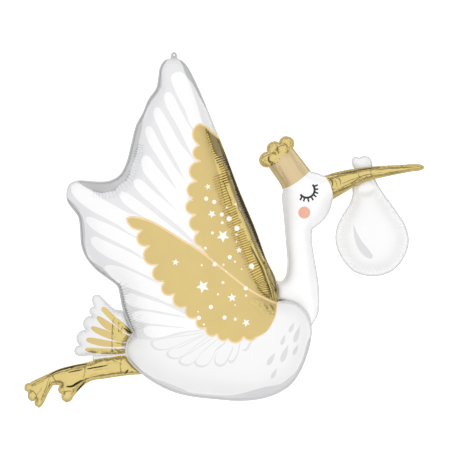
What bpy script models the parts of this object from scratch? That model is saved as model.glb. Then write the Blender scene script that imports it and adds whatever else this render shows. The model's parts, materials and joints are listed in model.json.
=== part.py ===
"""An inflated foil party balloon: a white stork in flight with a bundle in its beak.

It lies on its back, so +Z points out of the printed front, +X towards the beak and +Y
towards the tip of the raised wing. Four sealed cells of film meet at flat welded rims,
and a hanging tab stands on the rim at the tip of the wing. The film is a few hundredths
of a millimetre thick, and its rims and webs are drawn RIM_THICKNESS thick here.

The outlines are drawn by hand on squared paper, DRAWN_SPAN squares wide, x to the right
and y down. Only their proportions are drawn: SPAN sets the size.
"""

import math

import bmesh
import bpy
import numpy as np
from mathutils import Vector
from mathutils.geometry import delaunay_2d_cdt

# Driving dimensions, in metres
SPAN = 1.52
BODY_DEPTH = 0.236
HEAD_DEPTH = 0.112
TAIL_DEPTH = 0.096
BUNDLE_DEPTH = 0.150
RIM_WIDTH = 0.006
RIM_THICKNESS = 0.0015
BACK_FLATTENING = 0.013
BEAK_SQUEEZE = 0.007
TAB_WIDTH = 0.024
TAB_ROOT_WIDTH = 0.031
TAB_RISE = 0.0115
TAB_HOLE = 0.009

# Fits between the pieces
RIM_OVERLAP = 0.0045
CLEARANCE = 0.0003

# Facets: spacing along the rims, gaps between the rows inside them, spacing of the rest
RIM_STEP = 0.030
LARGEST_TURN = math.radians(34)
ROW_GAPS = (RIM_WIDTH, 0.005, 0.012, 0.021)
LONGEST_MITRE = 2
BODY_FACET = 0.056
BUNDLE_FACET = 0.038
LIMB_FACET = 0.026
CURVE_STEPS = 12
HOLE_SIDES = 20

# Drawing: squares across the whole figure, then the corners and curves of each outline
DRAWN_SPAN = 400.6

WING_TIP = (174, 58)
ARMPIT = (278.3, 299)
WING_NOTCH = (132.5, 333)
LEADING_EDGE = [
    WING_TIP, (181, 59.8), (187, 65.5), (195, 80), (208, 110), (224, 150), (239, 190),
    (255.7, 230), (266.5, 260), (275.5, 279), ARMPIT,
]
CHEST_AND_BELLY = [
    ARMPIT, (290, 300.7), (300, 305.5), (308, 315), (311.9, 328), (311, 341), (307, 356),
    (300, 372.5), (291, 385), (279, 393), (262, 399), (240, 401.2), (215, 399.4), (190, 396.5),
    (170, 391), (150, 380.3), (136, 369), (127.5, 359), (125, 350), (127, 341.5), WING_NOTCH,
]
TRAILING_EDGE = [
    WING_NOTCH, (126.7, 320), (122.2, 308), (120, 297), (117.3, 286.5), (109.4, 280), (96, 270),
    (86, 258), (81, 245), (80, 232), (78, 217), (72, 208.7), (67, 201), (66.4, 191),
    (70, 183.3), (78, 180.3), (95, 181.3), (109, 180.6), (119.3, 175), (126, 163), (131, 144),
    (136, 125), (142.7, 112.5), (148, 99.5), (156, 88), (158, 78), (160, 66.5), (165.5, 59.5),
    WING_TIP,
]

NAPE_ROOT = (277, 281)
CROWN_ROOT = (282.6, 189)
CROWN_TIPS = [(269, 167.2), (267.4, 151.6), (279.6, 143), (293, 148)]
CROWN_BALLS = [(259.6, 159.5), (272, 141.6), (287, 136.2)]
FOREHEAD = (311.4, 171.8)
BEAK_TOP_ROOT = (324, 175.5)
BEAK_BOTTOM_ROOT = (332.8, 199.6)
CHIN = (312.4, 229.4)
NECK_ROOT = (311.8, 326)
NAPE = [
    NAPE_ROOT, (281.3, 281.4), (285.5, 276.5), (287.4, 262), (286, 243.5), (284.2, 222),
    (282, 197), CROWN_ROOT,
]
BEAK = [
    BEAK_TOP_ROOT, (340, 171.2), (360, 167.8), (380, 165.8), (400, 164.9), (416, 163.9),
    (422.5, 165), (424.6, 167.4), (422, 169.9), (410, 171.9), (390, 175.8), (368, 181),
    (352, 188.2), (342, 194.2), BEAK_BOTTOM_ROOT,
]
CHEEK = [BEAK_BOTTOM_ROOT, (330.5, 209), (325.2, 218.5), (319.5, 224), CHIN]
THROAT = [CHIN, (312, 240), (314.6, 258), (318.2, 280), (319.6, 298), (318.3, 314), NECK_ROOT]

KNOT_NOTCH = (359.8, 157.5)
BUNDLE_TIE = (364, 175)
CONTACT_REACH = 17
KNOT_AND_POUCH = [
    KNOT_NOTCH, (364.5, 155.5), (370, 157.3), (373, 163.5), (372.8, 170), (375.5, 178),
    (379.5, 186), (386, 195.5), (397, 210.6), (406.1, 225), (409.7, 241), (406.1, 255.2),
    (396, 269), (383, 275.4), (368, 276.2), (354, 271.6), (342, 258.2), (336.3, 244),
    (336.5, 230), (342.5, 215.5), (350.5, 202.5), (353, 194), (353, 186.5), (355.5, 178),
    (356, 171), (352.8, 165), (352.2, 159.5), (355.6, 156.3), KNOT_NOTCH,
]

TAIL_ROOT = (122, 310.5)
TAIL_NOTCHES = [(94, 306.5), (92.3, 316), (85.5, 329.7), (80, 346), (79, 356.2)]
TAIL_TIPS = [(89.4, 310.5), (83, 322.5), (76.4, 339), (74.6, 352)]
WEB_TOP = (92.7, 355.4)
WEB_BOTTOM = (92.7, 361.2)
WEB_END = (127, 355)
FAR_ANKLE = (53, 385.2)
NEAR_ANKLE = (59.7, 385.2)
LEG_ROOT = (141, 374.3)
TAIL_TOP = [TAIL_ROOT, (115, 309.3), (106, 301.5), (98, 294.7), (92.6, 296.5), (92, 302), TAIL_NOTCHES[0]]
LEG_TOP = [WEB_BOTTOM, (80, 364), (60, 368.7), (45, 375.3), (30, 382.5), (24.6, 386.6), (24.6, 390.4), (27.7, 392)]
FAR_TOES = [
    [(27.7, 392), (28.4, 398), (31.3, 401.5), (35.3, 400.4)],
    [(35.3, 400.4), (36, 405.5), (38.9, 407.9), (43, 404), (48, 393.5), FAR_ANKLE],
]
NEAR_TOES = [
    [NEAR_ANKLE, (58, 389.5), (61.9, 394.6)],
    [(61.9, 394.6), (62.8, 399.5), (66.5, 402.6), (72.1, 398.2), (80, 388.8), (90, 381.3), (105, 378.6),
     (127, 375.5), LEG_ROOT],
]


def clear_scene():
    for item in list(bpy.data.objects):
        bpy.data.objects.remove(item, do_unlink=True)


def curve(points):
    """A smooth curve through the points, as a fine line that leaves out its last point."""
    knots = np.array(points, dtype=float)
    knots = np.vstack([2 * knots[0] - knots[1], knots, 2 * knots[-1] - knots[-2]])
    line = []
    for index in range(1, len(knots) - 2):
        a, b, c, d = knots[index - 1:index + 3]
        # The times between the points grow with the root of their distance
        first = math.sqrt(np.linalg.norm(b - a))
        second = first + math.sqrt(np.linalg.norm(c - b))
        third = second + math.sqrt(np.linalg.norm(d - c))
        for t in np.linspace(first, second, CURVE_STEPS, endpoint=False):
            ab = a + (b - a) * t / first
            bc = b + (c - b) * (t - first) / (second - first)
            cd = c + (d - c) * (t - second) / (third - second)
            abc = ab + (bc - ab) * t / second
            bcd = bc + (cd - bc) * (t - first) / (third - first)
            line.append(abc + (bcd - abc) * (t - first) / (second - first))
    return line


def lobe(start, through, end):
    """A round lobe: the arc from start through a point to end, without its last point."""
    a, b, c = (complex(*point) for point in (start, through, end))
    ratio = (c - a) / (b - a)
    centre = (b - a) * (ratio - abs(ratio) ** 2) / (2j * ratio.imag) + a
    radius = abs(a - centre)
    first, middle, last = (math.atan2((p - centre).imag, (p - centre).real) for p in (a, b, c))
    turn = (last - first) % math.tau
    if (middle - first) % math.tau > turn:
        turn -= math.tau
    steps = 2 * CURVE_STEPS
    angles = [first + turn * step / steps for step in range(steps)]
    return [np.array([centre.real + radius * math.cos(t), centre.imag + radius * math.sin(t)]) for t in angles]


def lobes(notches, tips):
    """Round lobes in a row, from each notch over a tip to the next notch."""
    return [lobe(*stretch) for stretch in zip(notches[:-1], tips, notches[1:])]


def real_size(line, end):
    """A drawn line in metres, with Y up, from its own points and the point that it ends at."""
    squares = np.array(list(line) + [end], dtype=float)
    return squares * (SPAN / DRAWN_SPAN, -SPAN / DRAWN_SPAN)


def facet(line):
    """The line with a point every RIM_STEP, closer where it turns, without its last point."""
    steps = np.diff(line, axis=0)
    lengths = np.linalg.norm(steps, axis=1)
    headings = np.unwrap(np.arctan2(steps[:, 1], steps[:, 0]))
    turns = np.abs(np.diff(headings, append=headings[-1]))
    travel = np.concatenate([[0], np.cumsum(lengths / RIM_STEP + turns / LARGEST_TURN)])
    count = max(1, math.ceil(travel[-1]))
    stops = np.linspace(0, travel[-1], count, endpoint=False)
    return np.column_stack([np.interp(stops, travel, line[:, axis]) for axis in (0, 1)])


def trace(strokes):
    """The facets of an outline. Its strokes follow on from each other, and meet in corners."""
    starts = [stroke[0] for stroke in strokes]
    ends = starts[1:] + [starts[0]]
    return np.vstack([facet(real_size(stroke, end)) for stroke, end in zip(strokes, ends)])


def trace_open(strokes, end):
    """The facets of an outline that leaves a rim and ends at another point of that rim."""
    ends = [stroke[0] for stroke in strokes[1:]] + [end]
    faceted = [facet(real_size(stroke, stop)) for stroke, stop in zip(strokes, ends)]
    return np.vstack(faceted + [real_size([], end)])


def inset(outline, reach):
    """The closed outline moved inwards by reach. Its outer corners are mitred."""
    side = math.copysign(1, signed_area(outline))
    along = np.roll(outline, -1, axis=0) - outline
    along /= np.linalg.norm(along, axis=1, keepdims=True)
    before = np.roll(along, 1, axis=0)
    middle = along + before
    middle /= np.linalg.norm(middle, axis=1, keepdims=True)
    inward = np.column_stack([-middle[:, 1], middle[:, 0]]) * side
    turn = (before[:, 0] * along[:, 1] - before[:, 1] * along[:, 0]) * side
    mitre = 1 / np.maximum(np.einsum("pk,pk->p", middle, along), 1 / LONGEST_MITRE)
    return outline + inward * np.where(turn > 0, mitre, 1)[:, None] * reach


def signed_area(outline):
    following = np.roll(outline, -1, axis=0)
    return 0.5 * float(np.sum(outline[:, 0] * following[:, 1] - following[:, 0] * outline[:, 1]))


def behind_rim(free_line, rim):
    """Closes a free outline by a run that lies RIM_OVERLAP inside the rim in front of it."""
    tucked = inset(rim, RIM_OVERLAP)
    leave = int(np.argmin(np.linalg.norm(rim - free_line[-1], axis=1)))
    back = int(np.argmin(np.linalg.norm(rim - free_line[0], axis=1)))
    ahead = (back - leave) % len(rim)
    behind = (leave - back) % len(rim)
    if ahead <= behind:
        run = [(leave + step) % len(rim) for step in range(ahead + 1)]
    else:
        run = [(leave - step) % len(rim) for step in range(behind + 1)]
    return np.vstack([free_line, tucked[run]])


def distance_to(line, points):
    """The distance from each point to the nearest of the line's segments."""
    starts = line[:, 0]
    spans = line[:, 1] - starts
    offsets = points[:, None] - starts[None]
    share = np.einsum("psk,sk->ps", offsets, spans) / np.einsum("sk,sk->s", spans, spans)
    nearest = offsets - np.clip(share, 0, 1)[..., None] * spans[None]
    return np.linalg.norm(nearest, axis=2).min(axis=1)


def sides(outline):
    return np.stack([outline, np.roll(outline, -1, axis=0)], axis=1)


def inside(outline, points):
    """Tells which points a line to the right leaves through an odd number of sides."""
    start, end = sides(outline)[:, 0], sides(outline)[:, 1]
    x, y = points[:, None, 0], points[:, None, 1]
    spans_y = (start[:, 1] > y) != (end[:, 1] > y)
    rise = np.where(end[:, 1] == start[:, 1], 1, end[:, 1] - start[:, 1])
    crossing = start[:, 0] + (y - start[:, 1]) * (end[:, 0] - start[:, 0]) / rise
    return (spans_y & (x < crossing)).sum(axis=1) % 2 == 1


def spread(candidates, kept, spacing):
    """Adds to the kept points those candidates that are not closer than spacing to any."""
    kept = list(kept)
    for point in candidates:
        if np.min(np.linalg.norm(np.array(kept) - point, axis=1)) >= spacing:
            kept.append(point)
    return np.array(kept)


def honeycomb(outline, spacing):
    """Points of a triangular grid over the outline's box."""
    low, high = outline.min(axis=0), outline.max(axis=0)
    points = []
    for row, y in enumerate(np.arange(low[1], high[1], spacing * math.sqrt(0.75))):
        shift = spacing / 2 * (row % 2)
        points += [(x + shift, y) for x in np.arange(low[0], high[0], spacing)]
    return np.array(points)


def fill(outline, facet_size, welds):
    """Points and triangles over a cell: rows along its rim and welds, then a wide field."""
    edges = np.vstack([sides(outline), welds]) if len(welds) else sides(outline)
    points = outline.copy()
    for gap, reach in zip(ROW_GAPS, np.cumsum(ROW_GAPS)):
        row = inset(outline, reach)
        row = row[inside(outline, row)]
        row = row[distance_to(edges, row) >= 0.9 * reach]
        points = spread(row, points, 0.8 * gap)
    for start, end in welds:
        points = spread(np.linspace(start, end, 1 + math.ceil(np.linalg.norm(end - start) / RIM_STEP)),
                        points, 0.8 * RIM_WIDTH)
    field = honeycomb(outline, facet_size)
    field = field[inside(outline, field)]
    field = field[distance_to(edges, field) > RIM_WIDTH + ROW_GAPS[1]]
    points = spread(field, points, 0.62 * facet_size)
    count = len(outline)
    border = [(index, (index + 1) % count) for index in range(count)]
    flat, _, faces, *_ = delaunay_2d_cdt([Vector(p) for p in points], border, [], 1, 1e-7)
    return np.array([tuple(p) for p in flat]), np.array(faces), edges


def membrane(points, triangles, fixed):
    """How far a stretched film rises under even pressure, held down at its fixed points."""
    count = len(points)
    stiffness = np.zeros((count, count))
    load = np.zeros(count)
    for triangle in triangles:
        corners = points[triangle]
        opposite = np.roll(corners, -1, axis=0) - np.roll(corners, 1, axis=0)
        area = 0.5 * abs(opposite[0, 0] * opposite[1, 1] - opposite[0, 1] * opposite[1, 0])
        stiffness[np.ix_(triangle, triangle)] += opposite @ opposite.T / (4 * area)
        load[triangle] += area / 3
    free = np.flatnonzero(~fixed)
    rise = np.zeros(count)
    rise[free] = np.linalg.solve(stiffness[np.ix_(free, free)], load[free])
    return rise


class Cell:
    """One sealed cell: its outline, the points and triangles over it and its fullness.

    The fullness at a point is half the cell's thickness there. It grows as the square
    root of a stretched film's rise, which gives each lobe a round section.
    """

    def __init__(self, outline, depth, facet_size, welds=()):
        self.outline = outline
        self.points, self.triangles, edges = fill(outline, facet_size, np.array(welds))
        away = distance_to(edges, self.points)
        flat = away <= RIM_WIDTH * 1.05
        # The weld also holds down the points that a facet joins to the outline itself
        edge_facets = (away < CLEARANCE)[self.triangles].any(axis=1)
        flat[self.triangles[edge_facets]] = True
        rise = membrane(self.points, self.triangles, flat)
        self.fullness = np.maximum(depth / 2 * np.sqrt(rise / rise.max()), RIM_THICKNESS / 2)

    def thickest(self, centre, reach):
        """The greatest fullness within reach of a place."""
        near = np.linalg.norm(self.points - centre, axis=1) <= reach
        return float(self.fullness[near].max())

    def pressed(self, centre, reach, limit):
        """The fullness where the cell is pressed flat round a place, and bulges beyond it."""
        away = np.linalg.norm(self.points - centre, axis=1) - reach
        return np.minimum(self.fullness, limit + np.maximum(away, 0))


def add_object(name, bm, material):
    mesh = bpy.data.meshes.new(name)
    bm.to_mesh(mesh)
    bm.free()
    mesh.materials.append(material)
    mesh.shade_smooth()
    mesh.set_sharp_from_angle(angle=math.radians(50))
    piece = bpy.data.objects.new(name, mesh)
    bpy.context.scene.collection.objects.link(piece)
    return piece


def add_cell(name, cell, level, centre, material, front=None, back=None):
    """The solid of a cell whose rim lies at a level. The floor flattens what reaches it."""
    front = cell.fullness if front is None else front
    back = cell.fullness if back is None else back
    bm = bmesh.new()
    plan = cell.points - centre
    upper = [bm.verts.new((x, y, level + rise)) for (x, y), rise in zip(plan, front)]
    lower = [bm.verts.new((x, y, max(0, level - drop))) for (x, y), drop in zip(plan, back)]
    border = set()
    for a, b, c in cell.triangles.tolist():
        bm.faces.new((upper[a], upper[b], upper[c]))
        bm.faces.new((lower[c], lower[b], lower[a]))
        border ^= {(a, b), (b, c), (c, a)}
    for a, b in sorted(border):
        if (b, a) not in border:
            bm.faces.new((lower[a], lower[b], upper[b], upper[a]))
    return add_object(name, bm, material)


def add_tab(level, centre, material):
    """The hanging tab: an eyelet of film whose root lies behind the wing's rim."""
    tip = real_size([], WING_TIP)[0] - centre
    eye = tip + (0, TAB_RISE)
    angles = np.radians(np.arange(-15, 196, 15))
    outline = [eye + TAB_WIDTH / 2 * np.array([math.cos(t), math.sin(t)]) for t in angles]
    outline += [tip + (side * TAB_ROOT_WIDTH / 2, -RIM_OVERLAP) for side in (-1, 1)]
    bm = bmesh.new()
    base = bm.faces.new([bm.verts.new((x, y, level - RIM_THICKNESS / 2)) for x, y in outline])
    lifted = bmesh.ops.extrude_face_region(bm, geom=[base])
    risen = [item for item in lifted["geom"] if isinstance(item, bmesh.types.BMVert)]
    bmesh.ops.translate(bm, verts=risen, vec=(0, 0, RIM_THICKNESS))
    bmesh.ops.recalc_face_normals(bm, faces=bm.faces)
    tab = add_object("hang_tab", bm, material)
    punch = bmesh.new()
    bmesh.ops.create_cone(punch, cap_ends=True, segments=HOLE_SIDES, radius1=TAB_HOLE / 2,
                          radius2=TAB_HOLE / 2, depth=4 * RIM_THICKNESS)
    cutter = add_object("hang_tab_punch", punch, material)
    cutter.location = (*eye, level)
    cutter.hide_render = True
    cutter.display_type = "WIRE"
    cut = tab.modifiers.new("hole", "BOOLEAN")
    cut.operation = "DIFFERENCE"
    cut.object = cutter


def foil(name, colour, roughness, metallic):
    material = bpy.data.materials.new(name)
    material.use_nodes = True
    shader = material.node_tree.nodes["Principled BSDF"]
    shader.inputs["Base Color"].default_value = (*colour, 1)
    shader.inputs["Roughness"].default_value = roughness
    shader.inputs["Metallic"].default_value = metallic
    return material


def body_outline():
    return trace([curve(LEADING_EDGE), curve(CHEST_AND_BELLY), curve(TRAILING_EDGE)])


def head_outline(rim):
    crown = lobes(CROWN_TIPS, CROWN_BALLS)
    strokes = [curve(NAPE), [CROWN_ROOT], *crown, [CROWN_TIPS[-1]], curve([FOREHEAD, (317, 172.6), BEAK_TOP_ROOT])]
    strokes += [curve(BEAK), curve(CHEEK), curve(THROAT)]
    return behind_rim(trace_open(strokes, NECK_ROOT), rim)


def tail_outline(rim):
    strokes = [curve(TAIL_TOP), *lobes(TAIL_NOTCHES, TAIL_TIPS), [TAIL_NOTCHES[-1]], [WEB_TOP], curve(LEG_TOP)]
    strokes += [curve(toe) for toe in FAR_TOES] + [[FAR_ANKLE]] + [curve(toe) for toe in NEAR_TOES]
    return behind_rim(trace_open(strokes, LEG_ROOT), rim)


def build():
    rim = body_outline()
    web = [[(WEB_TOP[0], (WEB_TOP[1] + WEB_BOTTOM[1]) / 2), WEB_END]]
    web = [real_size(ends[:1], ends[1]) for ends in web]
    body = Cell(rim, BODY_DEPTH, BODY_FACET)
    head = Cell(head_outline(rim), HEAD_DEPTH, LIMB_FACET)
    tail = Cell(tail_outline(rim), TAIL_DEPTH, LIMB_FACET, web)
    bundle = Cell(trace([curve(KNOT_AND_POUCH)]), BUNDLE_DEPTH, BUNDLE_FACET)

    corners = np.vstack([cell.outline for cell in (body, head, tail, bundle)])
    low = corners.min(axis=0)
    high = corners.max(axis=0)
    high[1] = real_size([], WING_TIP)[0][1] + TAB_RISE + TAB_WIDTH / 2
    centre = (low + high) / 2

    rim_level = BODY_DEPTH / 2 - BACK_FLATTENING
    back_level = rim_level - RIM_THICKNESS - CLEARANCE
    tie = real_size([], BUNDLE_TIE)[0]
    reach = CONTACT_REACH * SPAN / DRAWN_SPAN
    beak_back = head.thickest(tie, reach / 2) - BEAK_SQUEEZE / 2
    bundle_front = bundle.thickest(tie, reach / 2) - BEAK_SQUEEZE / 2
    bundle_level = back_level - beak_back - bundle_front - CLEARANCE

    white = foil("white_film", (0.93, 0.93, 0.93), 0.25, 0.0)
    gold = foil("gold_foil", (0.72, 0.60, 0.33), 0.28, 1.0)
    clear = foil("bare_film", (0.80, 0.80, 0.80), 0.2, 0.6)
    add_cell("body_and_wings", body, rim_level, centre, white)
    add_cell("head_and_neck", head, back_level, centre, foil("head_film", (0.90, 0.90, 0.89), 0.25, 0.0),
             back=head.pressed(tie, reach, beak_back))
    add_cell("tail_and_legs", tail, back_level, centre, gold)
    add_cell("bundle", bundle, bundle_level, centre, foil("bundle_film", (0.96, 0.96, 0.96), 0.3, 0.0),
             front=bundle.pressed(tie, reach, bundle_front))
    add_tab(back_level, centre, clear)


clear_scene()
build()
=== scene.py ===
"""Looks of the foil balloon: fine skins with seam puckers, creases, prints and painted shades.

Each cell's outline, level and depth are read from its solid. The prints are drawn in
squares of the figure's drawing, x to the right and y down, as the photograph shows them.
"""

import json
import math
import random

import bpy
import numpy as np
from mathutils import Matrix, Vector, kdtree, noise
from mathutils.geometry import delaunay_2d_cdt


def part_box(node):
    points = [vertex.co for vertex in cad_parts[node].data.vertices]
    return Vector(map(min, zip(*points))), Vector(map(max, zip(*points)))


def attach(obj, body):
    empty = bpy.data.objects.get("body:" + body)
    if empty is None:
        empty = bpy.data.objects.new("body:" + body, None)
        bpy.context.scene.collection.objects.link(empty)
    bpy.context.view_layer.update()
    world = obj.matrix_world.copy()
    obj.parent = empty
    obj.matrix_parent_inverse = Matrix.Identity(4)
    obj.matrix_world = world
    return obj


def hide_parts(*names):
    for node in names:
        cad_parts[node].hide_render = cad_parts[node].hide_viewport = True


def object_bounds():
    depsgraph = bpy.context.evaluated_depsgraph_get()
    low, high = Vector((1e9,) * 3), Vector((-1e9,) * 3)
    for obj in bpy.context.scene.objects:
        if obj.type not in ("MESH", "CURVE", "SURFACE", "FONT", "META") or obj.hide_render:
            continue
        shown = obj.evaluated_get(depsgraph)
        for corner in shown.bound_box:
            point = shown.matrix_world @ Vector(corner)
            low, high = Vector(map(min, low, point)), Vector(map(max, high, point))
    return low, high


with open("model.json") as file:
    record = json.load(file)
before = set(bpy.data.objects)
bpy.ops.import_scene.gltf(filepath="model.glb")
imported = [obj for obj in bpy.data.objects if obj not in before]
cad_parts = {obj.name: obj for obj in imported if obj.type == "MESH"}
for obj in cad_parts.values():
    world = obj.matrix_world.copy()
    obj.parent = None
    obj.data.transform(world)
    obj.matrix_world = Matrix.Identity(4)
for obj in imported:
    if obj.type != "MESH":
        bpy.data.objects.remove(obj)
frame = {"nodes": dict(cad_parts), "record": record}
cad_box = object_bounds()

# The drawing: the squares at the figure's left and right ends and at the wing's tip
FIGURE_LEFT = 24.185
FIGURE_RIGHT = 424.6
WING_TIP_SQUARE = 58
FIGURE_SQUARES = FIGURE_RIGHT - FIGURE_LEFT
SQUARE = (cad_box[1].x - cad_box[0].x) / FIGURE_SQUARES

# Film, seams, creases and crumples: lengths in metres, counts and angles
RIM_WIDTH = 0.006
RIM_HELD = 1.02 * RIM_WIDTH
RIM_PAINTED = 0.0042
RIM_WAVE = 0.0005
FILM_HALF = 0.0003
FLOOR_GAP = 0.0002
PUCKER_PITCH = 0.0092
COLUMNS_PER_PUCKER = 4
CREASE_RUN_OUT = 0.008
CREASE_END_DEPTH = 0.2
CREASE_REACH_IN_WIDTHS = 6
CRUMPLE_START = 0.003
CRUMPLE_RUN_IN = 0.008
SHARP_CORNER = math.radians(42)
SHARP_FOLD = math.radians(40)
WALL_TILT = 0.02

# The net of points: rows beside the outline, each with its distance in and which columns of
# the outline it takes, then the steps between other points, in metres
ROWS = [(0.003, 1), (0.006, 1), (0.0068, 1), (0.008, 1), (0.01, 1), (0.0125, 1), (0.0155, 1),
        (0.019, 1), (0.023, 2), (0.028, 2), (0.034, 2), (0.041, 4), (0.049, 4)]
ROW_GAPS = (0.93, 1.3)
GATHER_FROM = 0.023
GATHER_STEP = 0.0035
FIELD_STEP = 0.009
PRINT_STEP = 0.0035
FINE_STEP = 0.0026
PRINT_CLEAR = 0.0013
PRINT_TO_RIM = 0.0009
THINNEST = 0.0009

# Steps of a curve between two knots, and corners of the line round a dome
CURVE_STEPS = 8
ROUND_CORNERS = 26

# Limits of the sums
MITRE_LIMIT = 0.5
SOLVED = 1e-10
ROUNDED_PLACES = 5
TINY = 1e-12
MICRON = 1e-6
FAR = 9.0
CHUNK = 2_000_000

# Paints whose welded rim is plain film, and those whose rim is plain foil
WHITE_PAINTS = ("white_film", "body_film", "pouch_film", "tail_film", "feather_gap_print_and_chest_shade", "drop_print",
                "feather_print", "belly_side_shade_film")
GOLD_PAINTS = ("gold_foil", "tan_print", "gold_print")


# Curves and outlines

def drawn(points):
    """Places in the frame as drawn squares."""
    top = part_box("body_and_wings")[1].y
    return np.column_stack([
        FIGURE_LEFT + (points[:, 0] - cad_box[0].x) / SQUARE,
        WING_TIP_SQUARE + (top - points[:, 1]) / SQUARE,
    ])


def place(points):
    """Drawn squares as places in the frame."""
    squares = np.array(points, dtype=float).reshape(-1, 2)
    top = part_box("body_and_wings")[1].y
    return np.column_stack([
        cad_box[0].x + (squares[:, 0] - FIGURE_LEFT) * SQUARE,
        top - (squares[:, 1] - WING_TIP_SQUARE) * SQUARE,
    ])


def curve(points, closed=False):
    """A smooth curve through the points, as a fine line with both its ends."""
    knots = np.array(points, dtype=float)
    if closed:
        knots = np.vstack([knots[-1], knots, knots[:2]])
    else:
        knots = np.vstack([2 * knots[0] - knots[1], knots, 2 * knots[-1] - knots[-2]])
    line = []
    for a, b, c, d in zip(knots[:-3], knots[1:-2], knots[2:-1], knots[3:]):
        first = math.sqrt(np.linalg.norm(b - a))
        second = first + math.sqrt(np.linalg.norm(c - b))
        third = second + math.sqrt(np.linalg.norm(d - c))
        for t in np.linspace(first, second, CURVE_STEPS, endpoint=False):
            ab = a + (b - a) * t / first
            bc = b + (c - b) * (t - first) / (second - first)
            cd = c + (d - c) * (t - second) / (third - second)
            abc = ab + (bc - ab) * t / second
            bcd = bc + (cd - bc) * (t - first) / (third - first)
            line.append(abc + (bcd - abc) * (t - first) / (second - first))
    if not closed:
        line.append(knots[-2])
    return np.array(line)


def lobe(start, through, end):
    """The arc from start through a point to end, without its last point."""
    a, b, c = (complex(*point) for point in (start, through, end))
    ratio = (c - a) / (b - a)
    centre = (b - a) * (ratio - abs(ratio) ** 2) / (2j * ratio.imag) + a
    first, middle, last = (math.atan2((p - centre).imag, (p - centre).real) for p in (a, b, c))
    turn = (last - first) % math.tau
    if (middle - first) % math.tau > turn:
        turn -= math.tau
    angles = first + turn * np.arange(2 * CURVE_STEPS) / (2 * CURVE_STEPS)
    radius = abs(a - centre)
    return np.column_stack([centre.real + radius * np.cos(angles), centre.imag + radius * np.sin(angles)])


def scallops(cusps, tips):
    """A row of arcs, each from a cusp over its tip to the next cusp."""
    return np.vstack([lobe(*stretch) for stretch in zip(cusps[:-1], tips, cusps[1:])])


def inset(outline, reach):
    """The closed outline moved inwards by reach. Its outer corners are mitred."""
    following = np.roll(outline, -1, axis=0)
    area = np.sum(outline[:, 0] * following[:, 1] - following[:, 0] * outline[:, 1])
    side = math.copysign(1, area)
    along = following - outline
    along /= np.maximum(np.linalg.norm(along, axis=1, keepdims=True), TINY)
    before = np.roll(along, 1, axis=0)
    middle = along + before
    middle /= np.maximum(np.linalg.norm(middle, axis=1, keepdims=True), TINY)
    inward = np.column_stack([-middle[:, 1], middle[:, 0]]) * side
    turn = (before[:, 0] * along[:, 1] - before[:, 1] * along[:, 0]) * side
    mitre = 1 / np.maximum(np.einsum("pk,pk->p", middle, along), MITRE_LIMIT)
    return outline + inward * np.where(turn > 0, mitre, 1)[:, None] * reach


def inside(outline, points):
    """Tells which points lie inside a closed outline."""
    found = np.zeros(len(points), dtype=bool)
    low, high = outline.min(axis=0), outline.max(axis=0)
    near = np.flatnonzero(((points >= low) & (points <= high)).all(axis=1))
    start, end = outline, np.roll(outline, -1, axis=0)
    rise = np.where(end[:, 1] == start[:, 1], 1, end[:, 1] - start[:, 1])
    slope = (end[:, 0] - start[:, 0]) / rise
    for chunk in np.array_split(near, 1 + len(near) * len(outline) // CHUNK):
        x, y = points[chunk, 0][:, None], points[chunk, 1][:, None]
        spans = (start[:, 1] > y) != (end[:, 1] > y)
        crossing = start[:, 0] + (y - start[:, 1]) * slope
        found[chunk] = (spans & (x < crossing)).sum(axis=1) % 2 == 1
    return found


def resample(line, count):
    """The line with count even steps, without its last point."""
    travel = np.concatenate([[0], np.cumsum(np.linalg.norm(np.diff(line, axis=0), axis=1))])
    stops = np.linspace(0, travel[-1], count, endpoint=False)
    return np.column_stack([np.interp(stops, travel, line[:, axis]) for axis in (0, 1)])


def length_of(line):
    return float(np.linalg.norm(np.diff(line, axis=0), axis=1).sum())


# Prints, as closed outlines in drawn squares

STAR_WAIST = 0.45
DOT_SIZES = (0.8, 1.1, 1.5, 2.1, 2.7)
DOT_ROOM = 2.2
DOT_CORNERS = 14
DROP_ROOT = 0.3
DROP_BLUNT = 0.66


def petal(root, tip, width, root_width, blunt):
    """A drop: narrow at the root, widest near its round tip, which starts at a share of its length."""
    root, tip = np.array(root, dtype=float), np.array(tip, dtype=float)
    along = (tip - root) / np.linalg.norm(tip - root)
    across = np.array([-along[1], along[0]])
    length = np.linalg.norm(tip - root)
    round_end = 1 - (1 - blunt) * np.cos(np.linspace(0.2, math.pi / 2, 8))
    shares = np.concatenate([np.linspace(0, blunt, 9), round_end])
    sides = []
    for share in shares:
        if share <= blunt:
            half = root_width + (width - root_width) * math.sin(share / blunt * math.pi / 2) ** 1.2
        else:
            half = width * math.sqrt(max(0, 1 - ((share - blunt) / (1 - blunt)) ** 2))
        sides.append((root + along * length * share, half / 2))
    right = [centre + across * half for centre, half in sides]
    left = [centre - across * half for centre, half in reversed(sides) if half > 0.01]
    return np.array(right + left)


def ring(centre, radius, count=20):
    """A circle of points."""
    angles = np.arange(count) * math.tau / count
    return np.array(centre) + radius * np.column_stack([np.cos(angles), np.sin(angles)])


def star(centre, radius, turn):
    """A star with five points."""
    angles = turn + np.arange(10) * math.pi / 5
    reach = np.where(np.arange(10) % 2 == 0, radius, STAR_WAIST * radius)
    return np.array(centre) + reach[:, None] * np.column_stack([np.cos(angles), np.sin(angles)])


def stroke(line, width):
    """A pen stroke of even width with square ends."""
    line = np.array(line, dtype=float)
    along = np.gradient(line, axis=0)
    along /= np.linalg.norm(along, axis=1, keepdims=True)
    across = np.column_stack([-along[:, 1], along[:, 0]]) * width / 2
    return np.vstack([line + across, (line - across)[::-1]])


def sliver(width, points):
    """A curved mark that is widest in its middle."""
    line = curve(points)
    taper = np.sqrt(np.sin(np.linspace(0.05, math.pi - 0.05, len(line))))
    return stroke(line, width * taper[:, None])


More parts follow.
